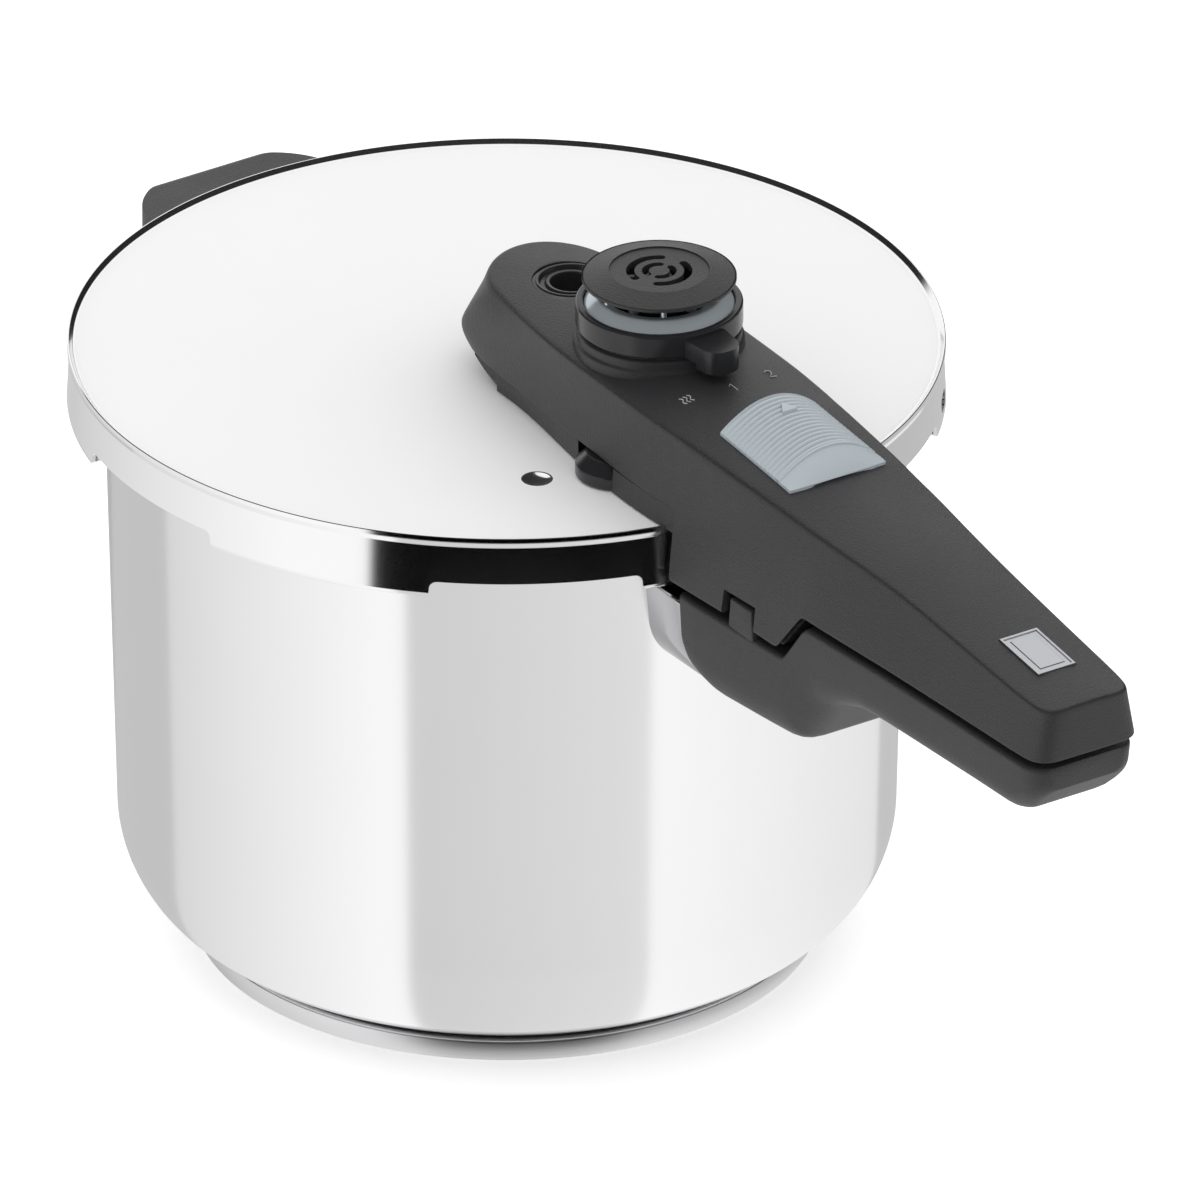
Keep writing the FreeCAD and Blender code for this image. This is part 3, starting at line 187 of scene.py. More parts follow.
def studio():
    """Soft boxes all round, as a plain studio has: bright fields, with dark gaps that draw the edges."""
    world = bpy.data.worlds.new("studio")
    bpy.context.scene.world = world
    tree = Tree(world)
    turn = math.radians(VIEW_AZIMUTH)
    ray = tree.node("TexCoord").outputs["Generated"]

    def along(axis):
        dot = tree.node("VectorMath", {"operation": "DOT_PRODUCT"}, {0: ray, 1: axis})
        return Value(tree.tree, dot.outputs["Value"])

    # Each direction is named by the way a mirror faces when it throws that light to the lens.
    level = math.radians(VIEW_ELEVATION)
    side = along((math.cos(turn), math.sin(turn), 0))
    front = along((math.sin(turn), -math.cos(turn), 0)) + math.cos(level)
    height = along((0, 0, 1)) + math.sin(level)
    length = (side * side + front * front + height * height).maths("SQRT").maths("MAXIMUM", 0.001)
    tilt = (height / length).maths("ARCSINE") * (180 / math.pi)
    facing = side.maths("ARCTAN2", front) * (180 / math.pi)
    # Bearings, in degrees, where the three fields on the pot's wall start and stop.
    one, two, three, four = -58, -14.5, 21.3, 71
    left_field = facing.between(one, two, 0.7) * (0.72 + 0.30 * ((facing - one) / 40).clamped())
    centre_field = facing.between(two, three, 0.7) * (0.66 + 0.12 * ((facing - two) / 36).clamped())
    right_field = facing.between(three, four, 0.7) * (0.82 + 0.2 * ((four - facing) / 50).clamped())
    ends = (1.0 - facing.between(one, four, 0.7)) * 0.57
    wall = left_field + centre_field + right_field + ends
    skirt_left = facing.between(-180, -18, 1.2) * (0.62 + 0.4 * ((facing + 80) / 50).clamped())
    skirt_right = facing.between(22, 180, 1.2) * (0.44 + 0.12 * ((facing - 22) / 60).clamped())
    skirt = skirt_left + skirt_right
    arch = tilt.between(20, 66, 4) * facing.between(-75, 115, 4)
    low = 1.0 - ((tilt - 0.8) / 1.4 + 0.5).clamped()
    high = ((tilt - 24) / 10 + 0.5).clamped()
    glow = low * wall + (1.0 - low) * (1.0 - high) * skirt + high * (1.0 - 0.985 * arch)
    path = tree.node("LightPath")
    seen = Value(tree.tree, path.outputs["Is Camera Ray"])
    mirrored = Value(tree.tree, path.outputs["Is Glossy Ray"])
    soft = 0.60 + 0.66 * along((0, 0, 1)).clamped()
    strength = seen + (1.0 - seen) * (mirrored * glow + (1.0 - mirrored) * soft)
    backdrop = tree.node("Background", None, {"Color": (1, 1, 1, 1), "Strength": strength})
    tree.node("OutputWorld", None, {"Surface": backdrop.outputs[0]})
    bpy.context.scene.view_settings.view_transform = "Standard"


def floor():
    """A pale table top under the base."""
    bm = bmesh.new()
    bmesh.ops.create_grid(bm, x_segments=1, y_segments=1, size=6000)
    bmesh.ops.translate(bm, verts=bm.verts, vec=(0, 0, -0.05))
    table = publish("table_top", bm, None)
    table.data.materials.append(paper())
    table.visible_glossy = False


def paper():
    """White paper sweep, lit so that it burns out to white and keeps only the shadow."""
    material = bpy.data.materials.new("white_sweep")
    tree = Tree(material)
    rough = tree.node("BsdfDiffuse", None, {"Color": (0.9, 0.9, 0.9, 1)})
    light = tree.node("Emission", None, {"Color": (1, 1, 1, 1), "Strength": 0.45})
    both = tree.node("AddShader", None, {0: rough.outputs[0], 1: light.outputs[0]})
    tree.node("OutputMaterial", None, {"Surface": both.outputs[0]})
    return material


# ---- finishes ----

FINISHES = {}


def finish(name, colour, metallic=0.0, roughness=0.4, grain=None, mottle=0.0, coat=0.0, lines=None):
    """A finish for metal, plastic or rubber.  grain is (size in mm, depth), lines is the spacing of
    turning marks in mm, mottle is how far roughness and colour wander."""
    material = bpy.data.materials.new(name)
    tree = Tree(material)
    place = tree.node("TexCoord").outputs["Object"]
    cloud = tree.node("TexNoise", None, {"Vector": place, "Scale": 35.0, "Detail": 3.0})
    wander = tree.value(cloud, "Fac") - 0.5
    shader = tree.node("BsdfPrincipled", None, {"Metallic": metallic, "Coat Weight": coat})
    tree.feed(shader.inputs["Roughness"], wander * (mottle * 0.6) + roughness)
    darker = tuple(c * (1 - mottle * 0.25) for c in colour) + (1,)
    lighter = tuple(min(1.0, c * (1 + mottle * 0.25)) for c in colour) + (1,)
    mixed = tree.node("Mix", {"data_type": "RGBA"}, {
        "Factor": tree.value(cloud, "Fac"), 6: darker, 7: lighter,
    })
    tree.feed(shader.inputs["Base Color"], mixed.outputs[2])
    normal = None
    if grain:
        size, depth = grain
        speck = tree.node("TexNoise", None, {
            "Vector": place, "Scale": 1 / (size * MM), "Detail": 2.0, "Roughness": 0.6,
        })
        normal = tree.node("Bump", None, {
            "Height": speck.outputs["Fac"], "Strength": depth, "Distance": 0.0002,
        })
    if lines:
        spread = tree.node("Mapping", None, {
            "Vector": place, "Scale": (2.0, 2.0, 1 / (lines * MM)),
        })
        marks = tree.node("TexNoise", None, {"Vector": spread.outputs[0], "Scale": 1.0, "Detail": 1.0})
        normal = tree.node("Bump", None, {
            "Height": marks.outputs["Fac"], "Strength": 0.06, "Distance": 0.0001,
        })
    if normal:
        tree.feed(shader.inputs["Normal"], normal.outputs[0])
    tree.node("OutputMaterial", None, {"Surface": shader.outputs[0]})
    FINISHES[name] = material
    return material


def finishes():
    finish("mirror_steel", (0.93, 0.93, 0.935), 1.0, 0.10, mottle=0.04)
    finish("sleeve_steel", (0.50, 0.50, 0.51), 1.0, 0.12, mottle=0.05)
    finish("wall_steel", (0.93, 0.93, 0.935), 1.0, 0.13, mottle=0.05, lines=0.8)
    # near-white diffuse colour for the steel lid's flat top: a painted reflection of the white studio,
    # standing in for the steel's own reflection
    finish("satin_top_painted_reflection", (0.94, 0.94, 0.94), 0.1, 0.75, grain=(0.7, 0.05), mottle=0.03)
    finish("satin_steel", (0.78, 0.78, 0.79), 1.0, 0.34, mottle=0.10, lines=0.3)
    finish("small_steel", (0.70, 0.71, 0.72), 1.0, 0.22, mottle=0.10)
    finish("core_aluminium", (0.75, 0.75, 0.76), 1.0, 0.45, mottle=0.15)
    finish("black_grained", (0.026, 0.026, 0.028), 0.0, 0.44, grain=(0.55, 1.0), mottle=0.25)
    finish("black_smooth", (0.018, 0.018, 0.020), 0.0, 0.24, mottle=0.06)
    # grey for the marks on the black cover: a painted highlight of the lit edges of the cut lines, not the
    # plastic's own colour
    finish("mark_grey", (0.42, 0.42, 0.42), 0.0, 0.5, grain=(0.4, 0.05))
    finish("button_grey", (0.44, 0.49, 0.52), 0.0, 0.30, grain=(0.5, 0.12), mottle=0.05)
    finish("ring_grey", (0.58, 0.64, 0.68), 0.45, 0.16, mottle=0.05)
    finish("seal_grey", (0.62, 0.62, 0.60), 0.0, 0.6, grain=(0.8, 0.2), mottle=0.1)
    finish("seal_red", (0.42, 0.05, 0.04), 0.0, 0.5, grain=(0.8, 0.2), mottle=0.1)
    finish("turned_brass", (0.72, 0.52, 0.22), 1.0, 0.25, mottle=0.1, lines=0.3)
    finish("plate_metal", (0.52, 0.53, 0.55), 0.9, 0.28, mottle=0.10, grain=(0.5, 0.15))


CAD_FINISHES = {
    "small_steel": (
        "pot_handle_screw", "side_handle_screw", "lid_studs", "lid_stud_nuts", "cover_screws",
        "selector_snap_ring", "valve_spring", "indicator_pin", "indicator_clip", "relief_nut",
        "relief_spring", "lock_screws", "lock_spring", "valve_cap_pins", "valve_stem",
    ),
    "satin_steel": (
        "pot_handle_bracket", "side_handle_bracket", "valve_body", "valve_nut", "valve_strainer",
    ),
    "core_aluminium": ("base_core",),
    "turned_brass": ("relief_plunger",),
    "seal_grey": ("lid_gasket", "valve_seal", "relief_seal"),
    "seal_red": ("indicator_grommet",),
    "black_smooth": ("lock_bar",),
}


# ---- making pieces ----

def smooth_between(bm, sharp):
    """Shades faces smooth, except across edges that turn by more than sharp degrees."""
    for face in bm.faces:
        face.smooth = True
    for edge in bm.edges:
        if len(edge.link_faces) == 2:
            edge.smooth = edge.calc_face_angle(0) < math.radians(sharp)


def publish(name, bm, body, replaces=(), paint=None, sharp=32):
    """Turns a mesh in millimetres into a piece that rides on a body, shaded smooth between edges."""
    bmesh.ops.scale(bm, vec=(MM, MM, MM), verts=bm.verts)
    smooth_between(bm, sharp)
    mesh = bpy.data.meshes.new(name)
    bm.to_mesh(mesh)
    bm.free()
    made = bpy.data.objects.new(name, mesh)
    bpy.context.scene.collection.objects.link(made)
    if paint:
        mesh.materials.append(FINISHES[paint])
    if body:
        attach(made, body)
    if replaces:
        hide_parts(*replaces)
    return made


def fillet(corners, steps=None):
    """Points of an outline given as corners (a, b, radius), each radius drawn as an arc."""
    points = []
    count = len(corners)
    for i, corner in enumerate(corners):
        here = Vector(corner[:2])
        radius = corner[2] if len(corner) > 2 else 0
        if not radius:
            points.append(here)
            continue
        before = (Vector(corners[i - 1][:2]) - here).normalized()
        after = (Vector(corners[(i + 1) % count][:2]) - here).normalized()
        half = before.angle(after) / 2
        centre = here + (before + after).normalized() * (radius / math.sin(half))
        start = here + before * (radius / math.tan(half)) - centre
        turn = math.pi - 2 * half
        count_here = steps or max(3, min(24, round(2 + radius * turn * 0.8)))
        way = 1 if before.x * after.y - before.y * after.x < 0 else -1
        for step in range(count_here + 1):
            spot = Matrix.Rotation(way * turn * step / count_here, 2) @ start
            points.append(centre + spot)
    return points


def lathe(corners, centre=(0, 0), steps=144, start=0.0, arc=360.0, bm=None):
    """A closed outline (radius, height, corner radius) turned round an upright axis."""
    bm = bm or bmesh.new()
    outline = [bm.verts.new((p.x, 0, p.y)) for p in fillet(corners)]
    lines = [bm.edges.new(pair) for pair in zip(outline, outline[1:] + outline[:1])]
    whole = arc >= 360
    first = outline + lines
    if not whole:
        first.append(bm.faces.new(outline))
    bmesh.ops.rotate(bm, verts=outline, cent=(0, 0, 0),
                     matrix=Matrix.Rotation(math.radians(start), 3, "Z"))
    made = bmesh.ops.spin(bm, geom=first, cent=(0, 0, 0), axis=(0, 0, 1),
                          angle=math.radians(arc), steps=steps, use_merge=whole)
    bmesh.ops.remove_doubles(bm, verts=bm.verts, dist=0.001)
    bmesh.ops.dissolve_degenerate(bm, edges=bm.edges, dist=0.0005)
    bmesh.ops.recalc_face_normals(bm, faces=bm.faces)
    if centre != (0, 0):
        bmesh.ops.translate(bm, verts=bm.verts, vec=(centre[0], centre[1], 0))
    return bm


def prism(outline, place, depth):
    """A face through outline points, put in space by place, and drawn out by a depth vector."""
    bm = bmesh.new()
    face = bm.faces.new([bm.verts.new(place(p)) for p in outline])
    drawn = bmesh.ops.extrude_face_region(bm, geom=[face])
    moved = [item for item in drawn["geom"] if isinstance(item, bmesh.types.BMVert)]
    bmesh.ops.translate(bm, verts=moved, vec=depth)
    bmesh.ops.recalc_face_normals(bm, faces=bm.faces)
    return bm


def ease(bm, edges, width, segments):
    """Rounds some of a mesh's edges."""
    bmesh.ops.bevel(bm, geom=list(edges), offset=width, segments=segments, profile=0.5,
                    affect="EDGES", material=-1)


def skin(loops, close_first=True, close_last=True):
    """A surface over closed loops of points, all with the same number of points."""
    bm = bmesh.new()
    edges_before = None
    rows = []
    for loop in loops:
        verts = [bm.verts.new(p) for p in loop]
        rows.append([bm.edges.new(pair) for pair in zip(verts, verts[1:] + verts[:1])])
        if edges_before is not None:
            bmesh.ops.bridge_loops(bm, edges=edges_before + rows[-1])
        edges_before = rows[-1]
    if close_first:
        bmesh.ops.contextual_create(bm, geom=rows[0])
    if close_last:
        bmesh.ops.contextual_create(bm, geom=rows[-1])
    bmesh.ops.remove_doubles(bm, verts=bm.verts, dist=0.001)
    bmesh.ops.recalc_face_normals(bm, faces=bm.faces)
    return bm


def settle(piece):
    """Applies a piece's modifiers, so that what follows works on the finished mesh."""
    graph = bpy.context.evaluated_depsgraph_get()
    mesh = bpy.data.meshes.new_from_object(piece.evaluated_get(graph))
    piece.modifiers.clear()
    piece.data = mesh
    return piece


def cut(piece, *cutters, crossing=False):
    """Takes the cutters' volumes out of a piece, and removes the cutters."""
    for cutter in cutters:
        tool = publish("cutter", cutter, None)
        work = piece.modifiers.new("cut", "BOOLEAN")
        work.object = tool
        work.solver = "EXACT"
        work.use_self = crossing
        work.use_hole_tolerant = crossing
        settle(piece)
        bpy.data.objects.remove(tool)
    return piece


def shade_by_angle(piece, sharp=32):
    bm = bmesh.new()
    bm.from_mesh(piece.data)
    smooth_between(bm, sharp)
    bm.to_mesh(piece.data)
    bm.free()
    return piece


def soften(piece, width, sharp=30, segments=2):
    """Rounds a piece's sharp edges, and keeps its flat faces flat in the shading."""
    work = piece.modifiers.new("rounded edges", "BEVEL")
    work.width = width * MM
    work.segments = segments
    work.limit_method = "ANGLE"
    work.angle_limit = math.radians(sharp)
    work.miter_outer = "MITER_ARC"
    work = piece.modifiers.new("even shading", "WEIGHTED_NORMAL")
    work.keep_sharp = True
    return piece


def from_cad(node, paint, body, width=0.3, sharp=30):
    """A finer copy of a CAD node: its triangles are merged and its edges rounded."""
    bm = bmesh.new()
    bm.from_mesh(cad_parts[node].data)
    bmesh.ops.remove_doubles(bm, verts=bm.verts, dist=1e-6)
    bmesh.ops.dissolve_limit(bm, angle_limit=math.radians(0.5), verts=bm.verts, edges=bm.edges)
    bmesh.ops.scale(bm, vec=(1 / MM, 1 / MM, 1 / MM), verts=bm.verts)
    piece = publish(node + "_finished", bm, body, (node,), paint, sharp)
    if width:
        soften(piece, width, sharp)
    return piece


# ---- pot ----

WALL_R = 110.8             # outside of the wall just under the rim
WALL_LEAN = 1.4            # degrees that the wall draws in towards the base
HOOK_R = 117.7             # outside of the hooks that the lid's lugs turn under


def pot_wall():
    """The drawn pot with its flat rim."""
    foot = BASE_TOP
    wall = RIM - foot
    low_outer = WALL_R - wall * math.tan(math.radians(WALL_LEAN))
    return lathe([
        (0, foot), (low_outer, foot, 33), (WALL_R, RIM - 1.0, 0.2), (113.2, RIM - 1.0, 0.3),
        (113.2, RIM, 0.4), (110.0, RIM, 0.3), (low_outer - 0.7, foot + 0.8, 32.2), (0, foot + 0.8),
    ], steps=192)


def pot():
    """Wall, and the six bayonet hooks under the lid's lugs."""
    bm = pot_wall()
    publish("pot_wall", bm, "pot", ("pot_shell",), "wall_steel")
    hooks = bmesh.new()
    for i in range(6):
        one = lathe([
            (112.4, RIM - 1.0), (116.7, RIM - 1.0), (116.7, 162.7), (HOOK_R, 162.7, 0.2),
            (HOOK_R, RIM, 1.0), (112.4, RIM),
        ], steps=14, start=60 * i - 13, arc=26)
        mesh = bpy.data.meshes.new("hook")
        one.to_mesh(mesh)
        one.free()
        hooks.from_mesh(mesh)
        bpy.data.meshes.remove(mesh)
    publish("pot_hooks", hooks, "pot", (), "mirror_steel")


def base():
    """Pressed cap round the conducting disc."""
    bm = lathe([
        (0, 0), (BASE_R, 0, 1.6), (BASE_R, BASE_TOP, 0.7), (BASE_R - 2.2, BASE_TOP + 0.4, 0.3),
        (BASE_R - 3.2, BASE_TOP - 0.6), (0, BASE_TOP - 0.6),
    ], steps=192)
    publish("base_disc", bm, "pot", ("base_cap", "base_core"), "satin_steel")


# ---- lid ----

SKIRT_LEAN = 0.9           # the skirt draws in by this much, up to the lid's edge
PLATE = LID_TOP - 0.5      # the lid's flat top, inside its raised edge
CREST = LID_TOP + 0.9
LUG_IN = 113.6             # how far in the lugs reach
DIMPLE_IN = 38.5           # the dimple's middle, in from the lid's edge
DIMPLE_BEARING = -28.1


def lid():
    """Top in near-white satin, a painted reflection of the white studio in place of the steel's mirror, with
    a raised bright edge, and a drawn skirt cut back between six lugs.
    """
    edge = LID_R - 0.25
    skirt = LID_R - SKIRT_LEAN
    bm = lathe([
        (0, PLATE), (105, PLATE), (118.6, PLATE, 0.5), (edge - 1.5, PLATE + 0.25, 0.3),
        (edge - 0.5, CREST, 0.3), (edge, CREST, 0.35), (edge, CREST - 2.5, 0.15),
        (skirt + 0.05, CREST - 2.8, 0.15), (skirt + 0.08, CREST - 3.3), (skirt + 0.1, CREST - 3.6),
        (LID_R - 0.12, LUG_FOOT + 2.0), (LID_R - 0.1, LUG_FOOT + 1.7), (LID_R, LUG_FOOT, 1.2),
        (LUG_IN, LUG_FOOT, 0.3), (LUG_IN, LUG_FOOT + 1.2, 0.2), (LID_R - 1.2, LUG_FOOT + 1.2, 0.4),
        (LID_R - 1.2 - SKIRT_LEAN, LID_TOP - 1.4, 1.2), (0, LID_TOP - 1.7),
    ], steps=240)
    piece = publish("lid_plate", bm, "lid", ("lid_shell",), "mirror_steel")
    tools = [notch(60 * i + 30) for i in range(6)]
    tools.append(window())
    spot = dimple_place()
    tools.append(lathe([(0, 170), (4.35, 170), (4.35, 185), (0, 185)], (spot.x, spot.y), 48))
    cut(piece, *tools)
    shade_by_angle(piece)
    # the flat top inside the raised edge takes the near-white finish, a painted reflection of the white
    # studio
    piece.data.materials.append(FINISHES["satin_top_painted_reflection"])
    for face in piece.data.polygons:
        centre = face.center / MM
        if centre.z > PLATE - 0.1 and face.normal.z > 0.99 and centre.xy.length < 118.7:
            face.material_index = 1
    publish("lid_dimple", lathe([
        (0, PLATE - 0.62), (1.5, PLATE - 0.55), (2.9, PLATE - 0.32), (3.9, PLATE - 0.06, 0.3),
        (4.4, PLATE, 0.1), (4.4, PLATE - 1.1), (2.9, PLATE - 1.9), (0, PLATE - 2.5),
    ], (spot.x, spot.y), 64), "lid", (), "mirror_steel")


def dimple_place():
    reach = LID_R - DIMPLE_IN
    turn = math.radians(DIMPLE_BEARING)
    return Vector((reach * math.cos(turn), reach * math.sin(turn)))


def skirt_tool(outline, inner, depth, bearing):
    """An outline drawn out through the skirt, turned to its bearing."""
    bm = prism(outline, lambda p: (inner, p.x, p.y), (depth, 0, 0))
    bmesh.ops.rotate(bm, verts=bm.verts, cent=(0, 0, 0),
                     matrix=Matrix.Rotation(math.radians(bearing), 3, "Z"))
    return bm


def notch(bearing):
    """Outline of the gap between two lugs, with S-curved corners, as a tool."""
    half = LID_R * math.sin(math.radians(14))
    top = LUG_FOOT + 5.0
    outline = fillet([
        (-half - 5, LUG_FOOT - 1), (-half - 5, LUG_FOOT), (-half, LUG_FOOT, 2.3),
        (-half, top, 2.3), (half, top, 2.3), (half, LUG_FOOT, 2.3),
        (half + 5, LUG_FOOT), (half + 5, LUG_FOOT - 1),
    ])
    return skirt_tool(outline, 108, 20, bearing)


def window():
    """Slot in the skirt that lets the gasket give way."""
    low = LID_TOP - 14.6
    outline = fillet([
        (-4.5, low, 2.2), (4.5, low, 2.2), (4.5, low + 4.6, 2.2), (-4.5, low + 4.6, 2.2),
    ])
    return skirt_tool(outline, 117, 10, 50)


# ---- lid handle ----

# Sections along the handle: place out from the lid's edge, half width and height of the crease
# on each side of its top, half width at the lower edge and that edge's nominal height.
SECTIONS = (
    (-134.0, 19.2, 28.8, 19.6, 7.0), (-99.0, 20.8, 29.7, 20.2, 7.0),
    (-54.0, 25.3, 30.3, 24.9, 7.0), (-16.0, 25.2, 29.0, 27.4, 7.0),
    (11.0, 23.8, 27.5, 28.2, -14.0), (37.0, 22.1, 25.3, 26.8, -14.0),
    (63.5, 19.8, 22.6, 24.9, -1.2), (91.7, 16.7, 19.9, 22.1, -2.2),
    (129.0, 15.6, 14.4, 19.4, -3.7), (162.8, 14.6, 9.9, 17.4, -5.0),
    (171.0, 14.3, 8.9, 16.8, -5.2),
)
BADGE = (136.8, 9.4, 6.1)  # middle, half length and half width of the plate near the grip's end
TAB = (26.4, 38.3)         # the pot handle's tab, which shows in a window of the cover
TAB_TOP = -8.1
NOSE_CENTRE = -97.0
NOSE_REACH = 27.7          # furthest out from the nose's centre, this far above the lid
NOSE_WAIST = 12.0
CROWN = 0.0064             # rise of the domed top, by the square of the distance from the middle
# Grid lines across the cover's sides: place at the crease, place and height at the lower edge.
SEAM = (
    (-76.0, -76.0, 7.0), (-54.0, -54.0, 7.0), (-34.0, -34.0, 7.0), (-17.0, -16.0, 7.0),
    (-8.0, -5.0, 7.0), (-4.0, -1.0, 7.0), (-1.5, 0.6, 7.0), (0.8, 0.6, 5.4), (4.0, 0.6, -12.4),
    (6.5, 0.6, -14.0), (9.0, 2.4, -14.0), (17.0, 14.0, -14.0), (27.0, 26.0, -14.0),
    (38.0, 38.0, -14.0), (45.0, 47.4, -14.0), (49.0, 50.0, -14.0), (52.0, 51.5, -12.0),
    (56.0, 58.0, -3.1), (59.0, 59.5, -1.1), (63.0, 62.0, -1.2), (76.0, 76.0, -1.7),
    (95.0, 95.0, -2.3), (117.0, 117.0, -3.1), (138.0, 138.0, -3.8), (150.0, 150.0, -4.2),
)


def section(place):
    """The handle's section at a place between two of those listed."""
    for low, high in zip(SECTIONS, SECTIONS[1:]):
        if place <= high[0]:
            break
    share = (place - low[0]) / (high[0] - low[0])
    return [a + share * (b - a) for a, b in zip(low, high)]


def half_width(place, height):
    """Half width of the handle's side walls at a height above the lid."""
    _, half, high, low_half, low = section(place)
    return half + (low_half - half) * (high - height) / (high - low)


def crown(place, y):
    """Height of the handle's domed top above the lid."""
    _, half, high, _, _ = section(place)
    return high + CROWN * max(0.0, half * half - y * y)


def nose_radius(height):
    """The nose leans in above its waist and draws in again below it."""
    if height > NOSE_WAIST:
        return NOSE_REACH - 0.49 * (height - NOSE_WAIST)
    return NOSE_REACH - 0.96 * (NOSE_WAIST - height)


def cover_loop(share, inset, extra=0.0):
    """One closed line round the cover.  share runs from 0 at the crease to 1 at the lower edge;
    inset runs from 0 at the crease to 1 on the top's middle line; extra draws the line in."""
    def level(place, low):
        high = section(place)[2]
        return high + share * (low - high)

    half_loop = []
    low = 7.0
    height = level(NOSE_CENTRE - 10, low)
    if share > 0:
        radius = nose_radius(height) - extra
        side = half_width(NOSE_CENTRE, height) - extra
    else:
        radius = nose_radius(section(NOSE_CENTRE)[2]) * (1 - inset)
        side = section(NOSE_CENTRE)[1] * (1 - inset)
    widest = math.asin(min(1.0, side / max(radius, 1e-6))) if radius > 0.01 else math.pi / 2
    for step in range(6):
        turn = widest * step / 5
        place = NOSE_CENTRE - radius * math.cos(turn)
        y = radius * math.sin(turn)
        half_loop.append((place, y, height if share > 0 else crown(place, y)))
    reach = END - extra - inset * section(END)[1]
    stretch = (reach - NOSE_CENTRE) / (END - NOSE_CENTRE)
    for top_place, low_place, low in SEAM:
        place = top_place + share * (low_place - top_place)
        place = NOSE_CENTRE + (place - NOSE_CENTRE) * stretch
        height = level(place, low)
        if share > 0:
            half_loop.append((place, half_width(place, height) - extra, height))
        else:
            y = section(place)[1] * (1 - inset)
            half_loop.append((place, y, crown(place, y)))
    height = level(END, -4.6)
    wide = (half_width(END, height) - extra) if share > 0 else section(END)[1] * (1 - inset)
    bend = min(6.0, wide) * (1 - 0.6 * inset)
    for turn in (0, 30, 60, 90):
        place = reach - bend + bend * math.sin(math.radians(turn))
        y = wide - bend + bend * math.cos(math.radians(turn))
        half_loop.append((place, y, height if share > 0 else crown(place, y)))
    half_loop.append((reach, 0.0, height if share > 0 else crown(reach, 0.0)))
    mirrored = [(x, -y, z) for x, y, z in half_loop[-2:0:-1]]
    return [(LID_R + x, y, LID_TOP + z) for x, y, z in half_loop + mirrored]


def cover_lines():
    """Lines from just inside the cover's lower edge up to the crease and in over the top."""
    lines = [cover_loop(1.0, 0, 2.6), cover_loop(1.0, 0, 0.5), cover_loop(0.985, 0), cover_loop(0.95, 0)]
    lines += [cover_loop(share, 0) for share in (0.78, 0.55, 0.3)]
    return lines


def lid_handle():
    """The black cover: a moulded shell with a crease along each side of its domed top."""
    lines = cover_lines()
    lines.append(cover_loop(0.065, 0))
    lines.append(cover_loop(0, 0))
    lines += [cover_loop(0, inset) for inset in (0.075, 0.3, 0.6, 0.85)]
    lines.append(cover_loop(0, 1.0))
    bm = skin(lines, False, False)
    piece = publish("handle_cover", bm, "lid", ("lid_handle_cover",), "black_grained", 180)
    work = piece.modifiers.new("wall", "SOLIDIFY")
    work.thickness = 2.4 * MM
    work.offset = -1
    work = piece.modifiers.new("moulded", "SUBSURF")
    work.levels = 2
    work.render_levels = 2
    settle(piece)
    top = LID_TOP + crown(INDICATOR.x - LID_R, 0)
    hole = lathe([(0, top - 12), (10.9, top - 12), (10.9, top - 0.6), (12.6, top - 0.3),
                  (12.6, top + 9), (0, top + 9)], (INDICATOR.x, 0), 72)
    badge_slot = prism(
        [(BADGE[0] - BADGE[1] - 0.25, -BADGE[2] - 0.25), (BADGE[0] + BADGE[1] + 0.25, -BADGE[2] - 0.25),
         (BADGE[0] + BADGE[1] + 0.25, BADGE[2] + 0.25), (BADGE[0] - BADGE[1] - 0.25, BADGE[2] + 0.25)],
        lambda p: (LID_R + p[0], p[1], badge_height(p[0]) - 0.5), (0, 0, 9))
    cut(piece, tab_window(), hole, badge_slot, crossing=True)
    return shade_by_angle(piece, 40)



def badge_height(place):
    return LID_TOP + crown(place, BADGE[2])


def badge():
    """A plain framed plate, let into the cover."""
    corners = [(BADGE[0] + a * BADGE[1], b * BADGE[2]) for a, b in ((-1, -1), (1, -1), (1, 1), (-1, 1))]
    bm = prism(corners, lambda p: (LID_R + p[0], p[1], badge_height(p[0]) - 0.75), (0, 0, 1.25))
    top = max(bm.faces, key=lambda face: face.calc_center_median().z)
    ease(bm, top.edges, 0.2, 2)
    top = max(bm.faces, key=lambda face: face.calc_center_median().z * (face.calc_area() > 40))
    bmesh.ops.inset_region(bm, faces=[top], thickness=0.9, depth=0)
    bmesh.ops.inset_region(bm, faces=[top], thickness=0.2, depth=-0.3)
    bmesh.ops.inset_region(bm, faces=[top], thickness=1.7, depth=0)
    bmesh.ops.inset_region(bm, faces=[top], thickness=0.35, depth=0.18)
    publish("badge_plate", bm, "lid", ("handle_badge",), "plate_metal", 25)


def indicator_rings():
    """Nested glossy rings round the pressure indicator's opening."""
    top = LID_TOP + crown(INDICATOR.x - LID_R, 0)
    bm = lathe([
        (5.8, top - 9), (5.8, top - 1.3, 0.4), (6.9, top - 1.1, 0.3), (7.3, top - 2.0, 0.3),
        (8.6, top - 2.0, 0.3), (9.0, top - 0.7, 0.3), (9.8, top - 0.55, 0.3), (10.0, top - 1.0, 0.1),
        (10.8, top - 1.0, 0.1), (10.8, top - 9),
    ], (INDICATOR.x, 0), 96)
    publish("indicator_rings", bm, "lid", ("indicator_bezel",), "black_smooth", 35)


def pedestal():
    """The low tower that the pressure selector turns on, with a flange at its top."""
    z = LID_TOP
    bm = lathe([
        (12.0, z + 29.5), (23.7, z + 29.5), (23.5, z + 33.3, 0.8), (22.7, z + 33.9, 0.3),
        (22.8, z + 36.3, 0.5), (21.6, z + 36.7, 0.2), (21.4, z + 37.2), (12.0, z + 37.2),
    ], (VALVE.x, 0), 96)
    publish("selector_tower", bm, "lid", (), "black_grained", 35)


